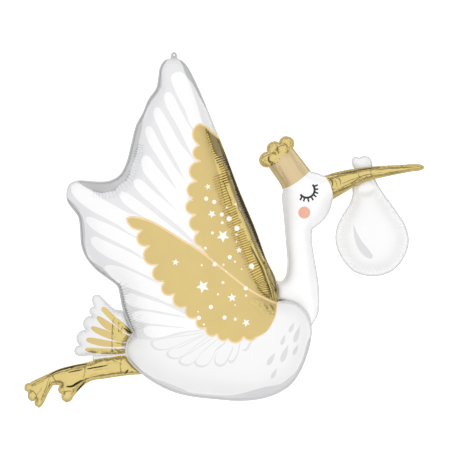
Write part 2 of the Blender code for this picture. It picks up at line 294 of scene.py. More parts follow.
# The gold panels of the raised wing and of the near wing: the cusps and tips of their
# scallops and the rest of their edges
FAR_PANEL_CUSPS = [
    (200, 123.2), (198.5, 145.5), (200, 161.5), (196.5, 181.5), (195.5, 199.5), (195.5, 214.8),
    (198.5, 231.8), (201.5, 247),
]
FAR_PANEL_TIPS = [
    (192.3, 132), (192.5, 152), (189, 170), (187, 188), (185.5, 206), (189, 222), (193.8, 239),
]
FAR_PANEL_REST = [
    (232, 290), (262, 312), (276, 303), (279, 300.5), (287, 290), (262, 228), (228, 139), (219, 136.5),
    (214, 131.6), (207, 126.2),
]
NEAR_PANEL_TOP = [
    (126.5, 218), (132, 216), (140, 217), (150, 219.7), (160, 224.6), (180, 237), (200, 249.5), (225, 269),
    (250, 288.5), (277, 303),
]
NEAR_PANEL_CHEST = [(277, 303), (276, 313), (272.5, 322), (266.5, 331), (256.5, 337)]
NEAR_PANEL_CUSPS = [
    (256.5, 337), (243.5, 336.5), (228, 338.5), (217, 334), (205.5, 327.5), (197.5, 317), (186, 306.5),
    (174.5, 293.5), (167, 280), (158, 264.5), (150, 245.5), (142, 230.5), (126.5, 218),
]
NEAR_PANEL_TIPS = [
    (250, 340.3), (235, 342.6), (221, 340), (208.5, 335), (196.5, 325), (185.5, 313.3), (173.5, 302),
    (161.5, 289), (152.5, 273.5), (143.5, 255), (137, 238.5), (130, 226),
]

# The shadow between the wing's feathers, and the feathers of the wing and of the body
WING_SHADOW = [
    (150, 40), (190, 40), (240, 118), (240, 300), (215, 329), (200, 330), (188, 331.5), (170, 336.5),
    (150, 339.5), (138, 338), (128, 345), (100, 300), (50, 250), (40, 170), (118, 150),
]
WING_FEATHERS = [
    [(193, 128), (185, 110), (178, 97), (172.5, 84), (171, 77.5), (174, 73.5), (180, 72), (185, 75),
     (188.5, 81), (192, 90), (196, 101), (200, 115), (202, 126)],
    [(196, 161), (186, 143), (178, 127), (170, 113), (166, 105), (164.3, 97), (166.5, 92.5), (170.5, 93),
     (175, 99), (180, 109), (187, 122), (195, 137)],
    [(190, 187), (177, 163), (168, 147), (160, 130), (155.3, 120), (153.6, 112.5), (155.5, 108),
     (159.5, 108.5), (164, 115), (170, 125), (180, 143), (195, 165)],
    [(186, 201), (170, 177), (160, 160.5), (152, 148), (147, 138), (145.5, 130.5), (147.5, 126.5),
     (151.5, 127.5), (158, 139), (166, 153), (175, 167.5), (190, 190)],
    [(190, 225), (175, 208.5), (160, 191.5), (150, 180), (144, 172), (141.8, 164), (142.5, 158),
     (146, 155.8), (150.5, 158), (156, 165.5), (165, 176.5), (178, 191), (190, 204)],
    [(196, 241), (180, 227), (163, 213), (150, 202.5), (140, 193), (134.5, 185.5), (134.5, 181),
     (138.5, 179), (143.5, 181.5), (152, 189.5), (165, 200.5), (180, 214), (192, 226)],
    [(200, 262), (180, 240), (160, 226), (142, 215.5), (130, 208), (123, 201.5), (120, 195.5),
     (121.5, 191.8), (126, 192.3), (135, 198), (147, 207), (160, 217.5), (175, 229), (192, 244)],
    [(140, 218), (128, 212.5), (112, 204), (100, 197), (88, 189), (79, 183.8), (73, 184.5), (71, 189),
     (73.5, 195), (80, 202), (90, 209.5), (102, 216), (118, 224.5), (138, 236)],
    [(158, 250), (140, 240), (125, 232), (112, 225.5), (100, 220.5), (93, 217.5), (87.5, 217), (86, 220),
     (90, 226), (98, 232), (110, 238.5), (122, 244.5), (136, 252), (152, 262)],
    [(160, 268), (146, 260.5), (130, 251.8), (115, 245), (103, 239.8), (95, 236.5), (91.5, 238.5),
     (92, 243), (97, 249.5), (108, 257), (120, 262.5), (135, 269.5), (150, 276.5), (165, 285)],
    [(172, 290), (155, 281.5), (140, 274.5), (125, 268), (113, 265), (106.5, 265.5), (104.5, 269),
     (107.5, 274), (113, 279), (121, 284.2), (133, 288.8), (147, 293.8), (158, 297.8), (172, 303)],
    [(186, 314), (168, 305), (152, 299.5), (138, 295), (130, 293), (126, 295.5), (125.5, 300),
     (129, 304.5), (140, 307.6), (155, 309.8), (172, 313), (192, 317)],
    [(196, 319.3), (175, 315.6), (155, 312), (142, 310.3), (135, 311.5), (132.5, 315), (135, 319.5),
     (145, 322.3), (160, 323.8), (178, 325.8), (198, 327)],
    [(200, 327.8), (180, 327), (160, 325.6), (148, 325.5), (144, 329), (146, 334), (153, 337), (163, 336),
     (175, 332.5), (188, 329.8), (200, 328.6)],
]
BODY_FEATHERS = [
    [(205, 331.5), (185, 334.5), (170, 336.5), (158, 338.5), (151.5, 340.5), (151, 344), (155, 348.5),
     (162, 349.8), (172, 347.5), (185, 341.5), (205, 332.5)],
    [(207, 333.5), (190, 341), (178, 347), (169, 349.5), (166.5, 353), (169, 357), (176, 358.5),
     (184, 355), (195, 346), (208, 335)],
    [(215, 336.5), (200, 345), (188, 353), (180.5, 357.5), (178.5, 361), (182, 364.5), (188, 365),
     (194, 361.5), (203, 351), (217, 338)],
    [(219, 338), (207, 347), (198, 355), (194.5, 360), (195.5, 364.5), (200, 366.5), (206, 365.5),
     (211, 360), (216, 350), (226, 341)],
    [(226, 341), (219, 349), (214.5, 357), (215, 363), (219, 366), (224, 364.5), (229, 357), (233, 345)],
    [(234, 343.5), (229.5, 351), (227.5, 358), (229.5, 362), (233, 361.5), (237, 356), (239.5, 347),
     (240, 342)],
    [(241.5, 341), (241.5, 347), (244, 350.5), (248, 348.5), (251, 343), (252.5, 339.5)],
]

# Widths of the printed lines, in squares
FEATHER_LINE = 0.85
TIP_SHADE = 1.7
PANEL_LINE = 1.7
PANEL_TOP_LINE = 2.1
PANEL_CHEST_LINE = 0.8

# Drops with their root, tip and width, stars with their radius, and the two corners and the
# count of each scatter of dots
CHEST_DROPS = [
    ((294, 322), (289, 332), 4), ((300, 325), (294, 342), 5), ((285, 334), (281, 344.5), 4),
    ((298, 344), (293, 354.5), 4), ((288, 344), (281, 361.5), 5.5), ((275, 352), (267, 364.5), 5),
    ((277, 367.5), (271, 378), 4),
]
FAR_STARS = [((212, 214), 4.2), ((223, 236), 6.6), ((239, 250), 3.4), ((208, 187), 3.2)]
NEAR_STARS = [((176, 262), 3.6), ((203, 286), 6.8), ((232, 297), 4.6), ((246, 322), 4.2)]
FAR_DOT_FIELD = ((204, 198), (240, 262), 14)
NEAR_DOT_FIELD = ((190, 262), (252, 326), 17)

# The creases where the body's steep sides meet its faces, and places beyond the outline that
# close each side's region
LEFT_CREASE = [
    (168, 58.5), (163, 67), (161.7, 73), (161.9, 82), (161, 88), (156.8, 95), (152.8, 100), (149, 106),
    (146.2, 111.5), (144.4, 116), (142.5, 124), (141.2, 132), (139.5, 140), (137.8, 148), (136, 156),
    (133.5, 163), (131, 170), (128.7, 177), (126.5, 180.5), (122, 183.5), (118, 187), (115.5, 190.5),
    (110, 191.7), (103, 193), (95, 191.5), (90, 189), (84, 186), (79, 182.5), (75, 179),
]
LEFT_BEYOND = [(74, 172), (108, 172), (122, 160), (128, 130), (140, 95), (152, 82), (154, 55), (164, 50)]
TIP_CREASE = [
    (176.5, 56), (179.5, 60.5), (182.6, 65.5), (184.9, 72), (187.5, 77.5), (191.2, 82), (195.3, 89),
    (200.4, 98.5), (205.7, 107.5), (211, 114),
]
TIP_BEYOND = [(220, 112), (200, 64), (186, 50)]
LOWER_CREASE = [
    (64, 195), (69, 199.5), (76, 206), (81, 213.5), (84, 221), (85.5, 232), (85.5, 244), (86.3, 250),
    (88, 256), (91, 260), (97, 264), (103, 268), (108, 273), (112, 277.5), (117, 281.5), (121, 285),
    (124, 296), (126, 306), (128.5, 315), (131.5, 324), (133.5, 331), (130, 338),
]
LOWER_BEYOND = [(120, 336), (108, 300), (95, 290), (66, 250), (56, 200)]
BELLY_CREASE = [
    (124, 352), (129, 358), (133, 362), (140, 368.5), (148, 374), (156, 378.5), (166, 382), (176, 386),
    (183, 388.7), (189, 391.5), (200, 393.2), (215, 394.6), (228, 394.9), (240, 393.3), (250, 390.7),
    (262, 387.2), (270, 385.8), (277, 384.6), (284, 381.5), (290, 376.5), (296, 370.5), (300, 363.5),
    (303.5, 355), (306, 346), (308.5, 339), (314, 334),
]
BELLY_BEYOND = [(325, 340), (312, 385), (280, 412), (200, 415), (140, 395), (112, 362)]
CHEST_CREASE = [(277, 303.5), (288, 304), (297, 307), (304, 313.5), (308.5, 322), (310.3, 331), (310, 340)]
CHEST_BEYOND = [(320, 345), (325, 330), (312, 300), (292, 292), (276, 296)]

# The bare foil along the raised wing's leading edge: its fold, beyond which the steep side is painted in
# shade, its inner edge, and the edge of a deeper painted shade
FOIL_CREASE = [
    (205, 128.5), (207.5, 133), (211, 143), (215, 153.5), (219, 157.5), (223, 162), (226.5, 168),
    (229, 174), (231.2, 181), (234, 190), (237, 200), (240.5, 209), (244, 217.5), (248.5, 226), (252, 233),
    (255, 241), (258.5, 247.5), (262, 255), (266, 263), (270.5, 273), (274, 283), (276, 292), (279, 301),
]
FOIL_BEYOND = [
    (290, 300), (285, 280), (262, 228), (235, 160), (227, 143), (219, 139.5), (214, 135.6), (209, 131.6),
]
FOLD_CREASE = [(218, 119), (212, 124), (209, 130), (209.5, 138)] + FOIL_CREASE[2:]
FOLD_BEYOND = FOIL_BEYOND[:4] + [(225, 116)]
FOLD_INNER = [
    (216, 118), (209, 124), (207, 132), (209, 142), (213, 155), (217, 168), (220, 180), (223, 192),
    (226, 204), (230, 214), (234, 224), (242, 244), (249, 262), (255, 278), (263, 291), (279, 303),
]
FOIL_INNER = [
    (205, 128.5), (208, 140), (212, 152), (216, 165), (218.5, 178), (221, 190), (224, 202), (228, 212),
    (232, 222), (236, 232), (240, 242), (244, 252), (248, 262), (251, 272), (254, 281), (259, 290),
    (268, 298), (276, 302.5), (279, 301),
]
DARK_EDGE = [
    (222.5, 148), (227, 162), (230.5, 173), (233.5, 183), (236, 192), (238.5, 200), (241.8, 209),
    (245.2, 217), (249.3, 225.5), (252.8, 233), (256, 241), (259.8, 248.5), (264.5, 257), (268.5, 265),
    (272.5, 273), (277, 282),
]
DARK_BEYOND = [(290, 285), (262, 228), (228, 145)]

# Each side as its crease and the places that close its region
LEFT_SIDE = (LEFT_CREASE, LEFT_BEYOND)
TIP_SIDE = (TIP_CREASE, TIP_BEYOND)
LOWER_SIDE = (LOWER_CREASE, LOWER_BEYOND)
BELLY_SIDE = (BELLY_CREASE, BELLY_BEYOND)
CHEST_SIDE = (CHEST_CREASE, CHEST_BEYOND)
FOIL_SIDE = (FOIL_CREASE, FOIL_BEYOND)
DARK_SIDE = (DARK_EDGE, DARK_BEYOND)

# Painted glints of bright foil and painted shades on the bare foil, each with its width in squares and its
# line
CORNER_GLINTS = [
    (3.0, [(250, 300.5), (257, 305), (263, 312)]),
    (2.6, [(261, 302), (267, 308), (271, 316)]),
    (2.2, [(270, 304), (273, 309), (273, 317)]),
]
FOIL_SHADES = [
    (2.0, [(251, 246), (256, 256), (262, 268), (266, 279), (270, 290), (273, 300)]),
    (1.3, [(271, 282), (274, 287), (276, 293)]),
]

# Creases, each with its depth and its width in metres
WING_CREASES = [
    (0.004, 0.0026, FOIL_SHADES[0][1]),
    (0.0012, 0.002, [(238, 207), (242, 211.5), (246, 213)]),
    (0.0014, 0.002, [(229, 214.5), (235, 213), (241, 211)]),
    (0.002, 0.0018, [(223.5, 180), (227, 189), (230.5, 198), (233, 207)]),
    (0.0016, 0.0018, FOIL_SHADES[1][1]),
    (0.0012, 0.002, [(251, 239), (256, 240.5), (260, 240)]),
    (0.0009, 0.002, [(160, 84.5), (164, 85.5), (167.5, 88)]),
    (0.0009, 0.002, [(161, 87), (165, 88.5)]),
    (0.0008, 0.0025, [(131, 183), (134.5, 176), (137, 166), (139, 157)]),
    (0.0009, 0.002, [(115, 191), (117.5, 196), (121, 201)]),
    (0.0009, 0.002, [(103, 193), (103.5, 198)]),
    (0.0009, 0.003, [(302, 320), (305, 333), (303, 347)]),
    (0.0008, 0.003, [(297, 330), (299.5, 341), (297, 353)]),
    (0.0009, 0.003, [(279, 368), (286, 372), (291, 379)]),
    (0.0009, 0.003, [(273, 381), (280, 380), (287, 375)]),
    (0.0009, 0.003, [(238, 389), (240, 394), (241, 398)]),
    (0.0009, 0.003, [(246, 388), (247, 393), (249, 397)]),
    (0.0009, 0.003, [(160, 374), (164, 379), (166, 384)]),
]


def dots(field, stars, seed):
    """A loose scatter of dots of several sizes that keeps clear of the stars."""
    rng = random.Random(seed)
    low, high, count = field
    taken = [(np.array(centre), radius) for centre, radius in stars]
    made = []
    while len(made) < count:
        centre = np.array([rng.uniform(low[0], high[0]), rng.uniform(low[1], high[1])])
        radius = rng.choice(DOT_SIZES)
        if all(np.linalg.norm(centre - other) > radius + size + DOT_ROOM for other, size in taken):
            taken.append((centre, radius))
            made.append(ring(centre, radius, DOT_CORNERS))
    return made


def sprinkled(field, stars, seed):
    """White stars at their places and a scatter of dots between them."""
    shapes = [star(centre, radius, radius) for centre, radius in stars] + dots(field, stars, seed)
    return [(shape, "white_print") for shape in shapes]


def side(crease, beyond):
    """The region between a crease and the outline."""
    return np.vstack([curve(crease), beyond])


def body_prints():
    """The prints and painted shades on the front of the body, each over those before it."""
    prints = [(WING_SHADOW, "feather_gap_print_and_chest_shade")]
    prints += [(curve(feather, closed=True), "white_film") for feather in WING_FEATHERS]
    for feather in reversed(BODY_FEATHERS):
        outline = curve(feather, closed=True)
        root = outline[0] - outline.mean(axis=0)
        raised = inset(outline, FEATHER_LINE) + TIP_SHADE * root / np.linalg.norm(root)
        prints += [(outline, "feather_print"), (raised, "body_film")]
    # The steep sides of the wings and body are painted grey as shade, the belly's side a lighter grey as
    # shade, and the chest's side as shade in the grey of the feather gaps
    prints += [(side(*flank), "side_shade_and_tab_film") for flank in (LEFT_SIDE, TIP_SIDE, LOWER_SIDE)]
    prints += [(side(*BELLY_SIDE), "belly_side_shade_film"), (side(*CHEST_SIDE), "feather_gap_print_and_chest_shade")]
    far = np.vstack([scallops(FAR_PANEL_CUSPS, FAR_PANEL_TIPS), FAR_PANEL_REST])
    edges = [
        scallops(NEAR_PANEL_CUSPS, NEAR_PANEL_TIPS),
        curve(NEAR_PANEL_TOP)[:-1],
        curve(NEAR_PANEL_CHEST)[:-1],
    ]
    near = np.vstack(edges)
    near_line = np.repeat((PANEL_LINE, PANEL_TOP_LINE, PANEL_CHEST_LINE), [len(edge) for edge in edges])
    prints += [(far, "peach_print"), (inset(far, PANEL_LINE), "gold_print")]
    prints += [(side(FOIL_INNER, FOIL_SIDE[1]), "gold_foil")]
    # The leading edge's steep side is painted darker foil as shade, and its lower edge a deeper painted
    # shade
    prints += [(side(*FOIL_SIDE), "foil_painted_shade"), (side(*DARK_SIDE), "foil_painted_deep_shade")]
    prints += [(sliver(*shade), "foil_painted_shade") for shade in FOIL_SHADES]
    prints += sprinkled(FAR_DOT_FIELD, FAR_STARS, seed=3)
    prints += [(near, "peach_print"), (inset(near, near_line[:, None]), "gold_print")]
    # Painted glints: streaks of bright foil over the near panel's corner
    prints += [(sliver(*glint), "gold_foil") for glint in CORNER_GLINTS]
    prints += sprinkled(NEAR_DOT_FIELD, NEAR_STARS, seed=8)
    for root, tip, width in CHEST_DROPS:
        prints.append((petal(root, tip, width, DROP_ROOT, DROP_BLUNT), "drop_print"))
    return prints


# The crown, beak, closed eye and cheek
CROWN_BASE = [
    (276, 191), (282.6, 189), (290, 186.3), (296.5, 182.4), (302.7, 177.6), (309, 172), (314, 167),
]
BEAK_BASE = [
    (321, 170), (324.5, 176), (327, 179.5), (329.5, 184.1), (331.4, 189), (332.3, 194), (332.7, 204),
]
CROWN_BEYOND = [(300, 120), (240, 120), (240, 180)]
BEAK_BEYOND = [(440, 210), (440, 150), (330, 150)]
CROWN_BALLS = [((266.5, 160), 7.5), ((273.7, 148.6), 7), ((286, 143), 6.9)]
INNER_BALLS = [((273.4, 158.6), 5.4), ((282.5, 149.5), 5.8)]
EYE_CENTRE = (306.5, 190)
EYE_RADIUS = 7.8
EYE_ANGLES = np.radians(np.linspace(145, -42, 24))
LID_WIDTH = 2.1
LASH_WIDTH = 1.7
BALL_MARGIN = 0.6
LASHES = [
    ((301.5, 197), (299.8, 200.3)), ((304.3, 198), (303.3, 201.5)), ((307.5, 198.3), (308.5, 202)),
    ((311, 196.8), (312.8, 200.3)), ((312.8, 194.5), (316, 197)), ((314, 192), (317.8, 193.5)),
    ((314.3, 189.3), (318, 189.3)), ((313.8, 186.5), (317.5, 185)),
]
CHEEK = ((304, 212.6), 6)
CHEEK_CORNERS = 30

# Shades and creases of the beak, and creases of the neck and crown
BEAK_SHADES = [
    (2.1, [(330, 175.2), (345, 173), (354, 171.2), (364, 169.2), (380, 167.2)]),
    (0.8, [(374, 176.4), (384, 175.2), (396, 172.8), (410, 170.4)]),
    (1.1, [(380, 167.9), (395, 167.8), (412, 167.1)]),
    (1.0, [(351, 182.8), (358, 178.6), (364, 175.4), (374, 173.9)]),
    (1.1, [(339, 191.2), (346, 188), (354, 184.6)]),
    (1.0, [(329.6, 178), (332, 183), (331.4, 188)]),
]
BEAK_CREASES = [
    (0.003, 0.0024, BEAK_SHADES[0][1]),
    (0.0024, 0.002, [(374, 167.8), (385, 167.6), (400, 167.4), (412, 166.9), (419, 166.6)]),
    (0.0022, 0.002, [(372, 177), (382, 175.6), (392, 173.9), (404, 171.7), (415, 170.2)]),
    (0.002, 0.0018, [(340, 184.8), (348, 181.6), (356, 178.4), (361, 176)]),
    (0.0018, 0.0018, [(342, 187.6), (350, 184.4), (358, 180.8), (366, 178)]),
    (0.0018, 0.0018, [(336, 194), (342, 190.6), (350, 187), (356, 184.2)]),
    (0.0014, 0.0018, [(372, 173.8), (378, 173), (384, 172.6)]),
    (0.0018, 0.0018, [(358.6, 171.6), (358.8, 175), (361.5, 179)]),
    (0.0018, 0.0018, [(370.6, 168.4), (371, 173), (372, 178)]),
    (0.0018, 0.0018, [(365.5, 174), (367, 178), (366.4, 181)]),
    (0.002, 0.0018, [(338, 176.4), (340.4, 181), (341, 186)]),
    (0.0018, 0.0016, [(331, 178), (333, 183), (332, 187), (334.5, 192)]),
    (0.0016, 0.0016, [(334, 178.5), (336.5, 183), (337.5, 188)]),
]
NECK_CREASES = [
    (0.0009, 0.003, [(282, 291), (292, 294), (301, 298.5)]),
    (0.0008, 0.003, [(284, 285), (292, 288)]),
    (0.0009, 0.003, [(306, 301), (310, 310), (315, 317)]),
    (0.0018, 0.002, [(277, 165), (283, 176), (287, 185)]),
    (0.0018, 0.002, [(288, 158), (295, 170), (300, 179)]),
    (0.0014, 0.002, [(283, 165), (288, 174)]),
    (0.0014, 0.002, [(274, 172), (278, 180), (280, 186)]),
    (0.0014, 0.002, [(296, 157), (301, 166), (305, 172)]),
]


def head_prints():
    """The crown, the beak with its painted shade lines, the closed eye and the cheek."""
    prints = [(side(CROWN_BASE, CROWN_BEYOND), "tan_print"), (side(BEAK_BASE, BEAK_BEYOND), "gold_foil")]
    # Lines of darker foil painted as shade along the beak's folds
    prints += [(sliver(*shade), "foil_painted_shade") for shade in BEAK_SHADES]
    for centre, radius in CROWN_BALLS + INNER_BALLS:
        prints.append((ring(centre, radius + BALL_MARGIN), "gold_foil"))
    lid = np.array(EYE_CENTRE) + EYE_RADIUS * np.column_stack([np.cos(EYE_ANGLES), np.sin(EYE_ANGLES)])
    prints.append((stroke(lid, LID_WIDTH), "black_print"))
    for lash in LASHES:
        line = np.linspace(*np.array(lash, dtype=float), 4)
        prints.append((stroke(line, LASH_WIDTH), "black_print"))
    prints.append((ring(*CHEEK, CHEEK_CORNERS), "coral_print"))
    return prints


# The bundle's crescent and its creases
CRESCENT_OUTER = [(353.3, 224), (354, 236), (356.5, 245), (361, 252.5), (367, 257.6), (371.5, 258.8)]
CRESCENT_INNER = [(372.8, 255.5), (368.5, 249.5), (362, 241.5), (357, 233), (353.3, 224)]
BUNDLE_CREASES = [
    (0.0012, 0.004, [(380, 186), (387, 195), (396, 208), (402, 219)]),
    (0.001, 0.004, [(345, 214), (341, 224), (340, 235), (342, 247)]),
    (0.001, 0.004, [(399, 226), (401, 238), (400, 250), (395, 260)]),
    (0.001, 0.004, [(350, 262), (358, 267.5), (368, 270)]),
    (0.001, 0.004, [(378, 270), (388, 266), (394, 261)]),
    (0.0012, 0.004, [(358, 188), (364, 185), (372, 186.5), (377, 193)]),
    (0.0008, 0.003, [(357, 192), (356, 200), (352, 208)]),
]


def bundle_prints():
    """The crescent that is the bundle's printed fold."""
    crescent = np.vstack([curve(CRESCENT_OUTER), curve(CRESCENT_INNER)[:-1]])
    return [(crescent, "drop_print")]


# The tail's gold feathers, the crease across them, and the legs' shades, creases and top edge
TAIL_FEATHERS = [
    [(101.2, 309.5), (102.5, 307), (105, 307), (110, 311.5), (116, 317), (121, 320.5), (126, 325.5),
     (132.5, 332.8), (131, 334), (126, 333), (119, 328), (113, 322.5), (106, 315.5)],
    [(96.8, 318), (97.8, 316), (100.5, 316.5), (107, 320.3), (113, 324), (119, 328.5), (124, 332.5),
     (129, 336.5), (129, 339.5), (126, 342), (118, 341), (111, 338.8), (112, 332), (108, 330),
     (102, 325.5)],
    [(91, 328.3), (92.2, 326.2), (96, 326.6), (103, 328.8), (110, 331.2), (114, 333), (111, 339),
     (105.5, 337.3), (100, 335), (94, 331.5)],
    [(86.3, 340.5), (87.2, 338), (91, 337.5), (100, 338.8), (112, 341), (120, 341.7), (126.5, 344),
     (124.5, 346), (115, 346.8), (103, 346.3), (95, 344.6), (89, 342.5)],
    [(85, 350), (86.5, 347.8), (91, 347.6), (100, 348), (112, 348.5), (125.5, 349.3), (125, 352.5),
     (117, 353.6), (105, 354), (95, 353.2), (88, 351.8)],
]
FAN_CREASE = 112
LEG_SHADES = [
    (1.5, [(47, 376.6), (56, 371.6), (66, 368.2), (76, 365.6), (88, 363.9)]),
    (1.3, [(86.5, 368.7), (97, 367), (108, 365)]),
    (1.1, [(68, 372.2), (76, 370.6), (83, 369.2)]),
    (2.4, [(84, 379.6), (77, 383.5), (72, 386.2), (66, 386.6)]),
    (1.6, [(86, 380.6), (80.5, 387), (76, 392)]),
    (1.6, [(128.6, 369.6), (124.6, 374.4)]),
    (1.5, [(132, 333.4), (128, 331.2), (123.5, 327.5)]),
]
LEG_CREASES = [
    (0.0024, 0.002, [(48, 376), (56, 371.6), (66, 368.2), (76, 365.6), (88, 363.9)]),
    (0.0016, 0.0016, [(64, 369.6), (74, 367.6), (84, 366.3)]),
    (0.002, 0.0018, [(68, 372.2), (76, 370.6), (83, 369.2)]),
    (0.0024, 0.0018, [(86.5, 368.7), (97, 367), (108, 365)]),
    (0.0014, 0.0016, [(91, 371), (100, 369.4), (111, 368)]),
    (0.0014, 0.0016, [(70, 374.5), (80, 373.2)]),
    (0.002, 0.0018, [(84.3, 364.8), (85, 371), (83.5, 379.5)]),
    (0.002, 0.0018, [(51.5, 373.8), (54, 379), (57.5, 385)]),
    (0.0018, 0.0018, [(48.5, 377), (47.5, 385), (44, 396), (41.5, 403)]),
    (0.0018, 0.0018, [(50.5, 379), (49, 389), (46.5, 397)]),
    (0.0014, 0.0016, [(45, 379.5), (38, 383), (31, 386)]),
    (0.0018, 0.0018, [(35.5, 401.5), (36, 396), (33, 391.8), (27.5, 391.3)]),
    (0.0016, 0.0016, [(36, 396), (40, 391), (43, 386)]),
    (0.004, 0.003, [(83, 380), (77, 383.5), (72, 386.2), (66, 386.6)]),
    (0.0034, 0.0026, [(86, 380.6), (80.5, 387), (76, 392)]),
    (0.0018, 0.0016, [(82, 382.8), (77, 388), (72.5, 391)]),
    (0.0018, 0.0018, [(61.5, 394.4), (67, 391.6), (73, 391.5)]),
    (0.0018, 0.0018, [(121.5, 356.5), (120.5, 366), (121.5, 375)]),
    (0.0024, 0.002, [(128.6, 369.6), (124.6, 374.4)]),
    (0.0014, 0.0016, [(112, 359), (118, 362), (124, 365)]),
    (0.0014, 0.0016, [(104, 364), (112, 362.8), (119, 363)]),
    (0.0022, 0.0018, [(113, 318), (111.9, 331), (111.6, 345), (112.4, 354)]),
    (0.0022, 0.0018, [(119.5, 319.6), (118, 327), (119.5, 334)]),
    (0.0022, 0.0018, [(124, 324.6), (121, 331), (122.5, 336)]),
    (0.0018, 0.0018, [(130, 336), (127.4, 342)]),
    (0.0018, 0.0016, [(114, 349), (119, 353)]),
    (0.0018, 0.0016, [(115, 342.6), (124, 345)]),
]
LEG_TOP = [
    (10, 378), (20, 376), (40, 371), (55, 365), (80, 361.5), (92, 360), (105, 358), (115, 356.5),
    (121, 355.2), (127, 355), (146, 351),
]
LEG_BEYOND = [(150, 420), (10, 420)]

# The round ends of the tail's feathers and then of the toes
FIRST_TOE = 5
TAIL_ROUNDS = [
    ((97, 299.8), 5.3), ((94.2, 311.3), 5), ((88.7, 322.6), 5.4), ((82.3, 338.3), 6.1),
    ((79.4, 350.8), 5.2), ((28.6, 387.3), 4.3), ((32.4, 396.3), 4.9), ((38.6, 402.9), 4.3),
    ((62.7, 389.7), 4.7), ((67, 396.4), 5.8),
]
TOES = TAIL_ROUNDS[FIRST_TOE:]


def tail_prints():
    """The tail's five feathers and the bare foil of their roots and of the legs, with painted shade lines
    along the legs' folds.
    """
    legs = side(LEG_TOP, LEG_BEYOND)
    feathers = [curve(feather, closed=True) for feather in TAIL_FEATHERS]
    roots = [feather[feather[:, 0] > FAN_CREASE] for feather in feathers]
    paints = ("gold_foil", "gold_print", "gold_print", "gold_print", "gold_foil")
    prints = list(zip(feathers, paints)) + [(root, "gold_foil") for root in roots] + [(legs, "gold_foil")]
    # Lines of dark foil painted as shade along the legs' folds
    return prints + [(sliver(*shade), "foil_painted_deep_shade") for shade in LEG_SHADES]


# Materials

def node_material(name):
    material = bpy.data.materials.new(name)
    material.use_nodes = True
    return material, material.node_tree.nodes, material.node_tree.links


COAT_ROUGHNESS = 0.12
CLOUD_SCALE = 14
GLOSS_SPREAD = (0.8, 1.25)
CRINKLE_HEIGHT = 0.0015


def varied_film(name, colour, roughness, metallic=0.0, coat=0.0, mottle=0.03, crinkle=0.25,
                crinkle_scale=60):
    """Film or print whose colour, gloss and surface vary a little, as on real film."""
    material, nodes, links = node_material(name)
    shader = nodes["Principled BSDF"]
    shader.inputs["Metallic"].default_value = metallic
    shader.inputs["Coat Weight"].default_value = coat
    shader.inputs["Coat Roughness"].default_value = COAT_ROUGHNESS
    where = nodes.new("ShaderNodeTexCoord")
    clouds = nodes.new("ShaderNodeTexNoise")
    clouds.inputs["Scale"].default_value = CLOUD_SCALE
    clouds.inputs["Detail"].default_value = 4
    links.new(where.outputs["Object"], clouds.inputs["Vector"])
    tint = nodes.new("ShaderNodeValToRGB")
    for stop, factor in zip(tint.color_ramp.elements, (1 - mottle, 1 + mottle)):
        stop.color = (*[min(1, channel * factor) for channel in colour], 1)
    tint.color_ramp.elements[0].position = 0.3
    tint.color_ramp.elements[1].position = 0.7
    links.new(clouds.outputs["Fac"], tint.inputs["Fac"])
    links.new(tint.outputs["Color"], shader.inputs["Base Color"])
    gloss = nodes.new("ShaderNodeMapRange")
    gloss.inputs["To Min"].default_value = roughness * GLOSS_SPREAD[0]
    gloss.inputs["To Max"].default_value = roughness * GLOSS_SPREAD[1]
    links.new(clouds.outputs["Fac"], gloss.inputs["Value"])
    links.new(gloss.outputs["Result"], shader.inputs["Roughness"])
    fine = nodes.new("ShaderNodeTexNoise")
    fine.inputs["Scale"].default_value = crinkle_scale
    fine.inputs["Detail"].default_value = 5
    links.new(where.outputs["Object"], fine.inputs["Vector"])
    bump = nodes.new("ShaderNodeBump")
    bump.inputs["Strength"].default_value = crinkle
    bump.inputs["Distance"].default_value = CRINKLE_HEIGHT
    links.new(fine.outputs["Fac"], bump.inputs["Height"])
    links.new(bump.outputs["Normal"], shader.inputs["Normal"])
    return material


def srgb(red, green, blue):
    """A colour read from the photograph, as the linear values that shaders take."""
    return [((channel / 255 + 0.055) / 1.055) ** 2.4 for channel in (red, green, blue)]


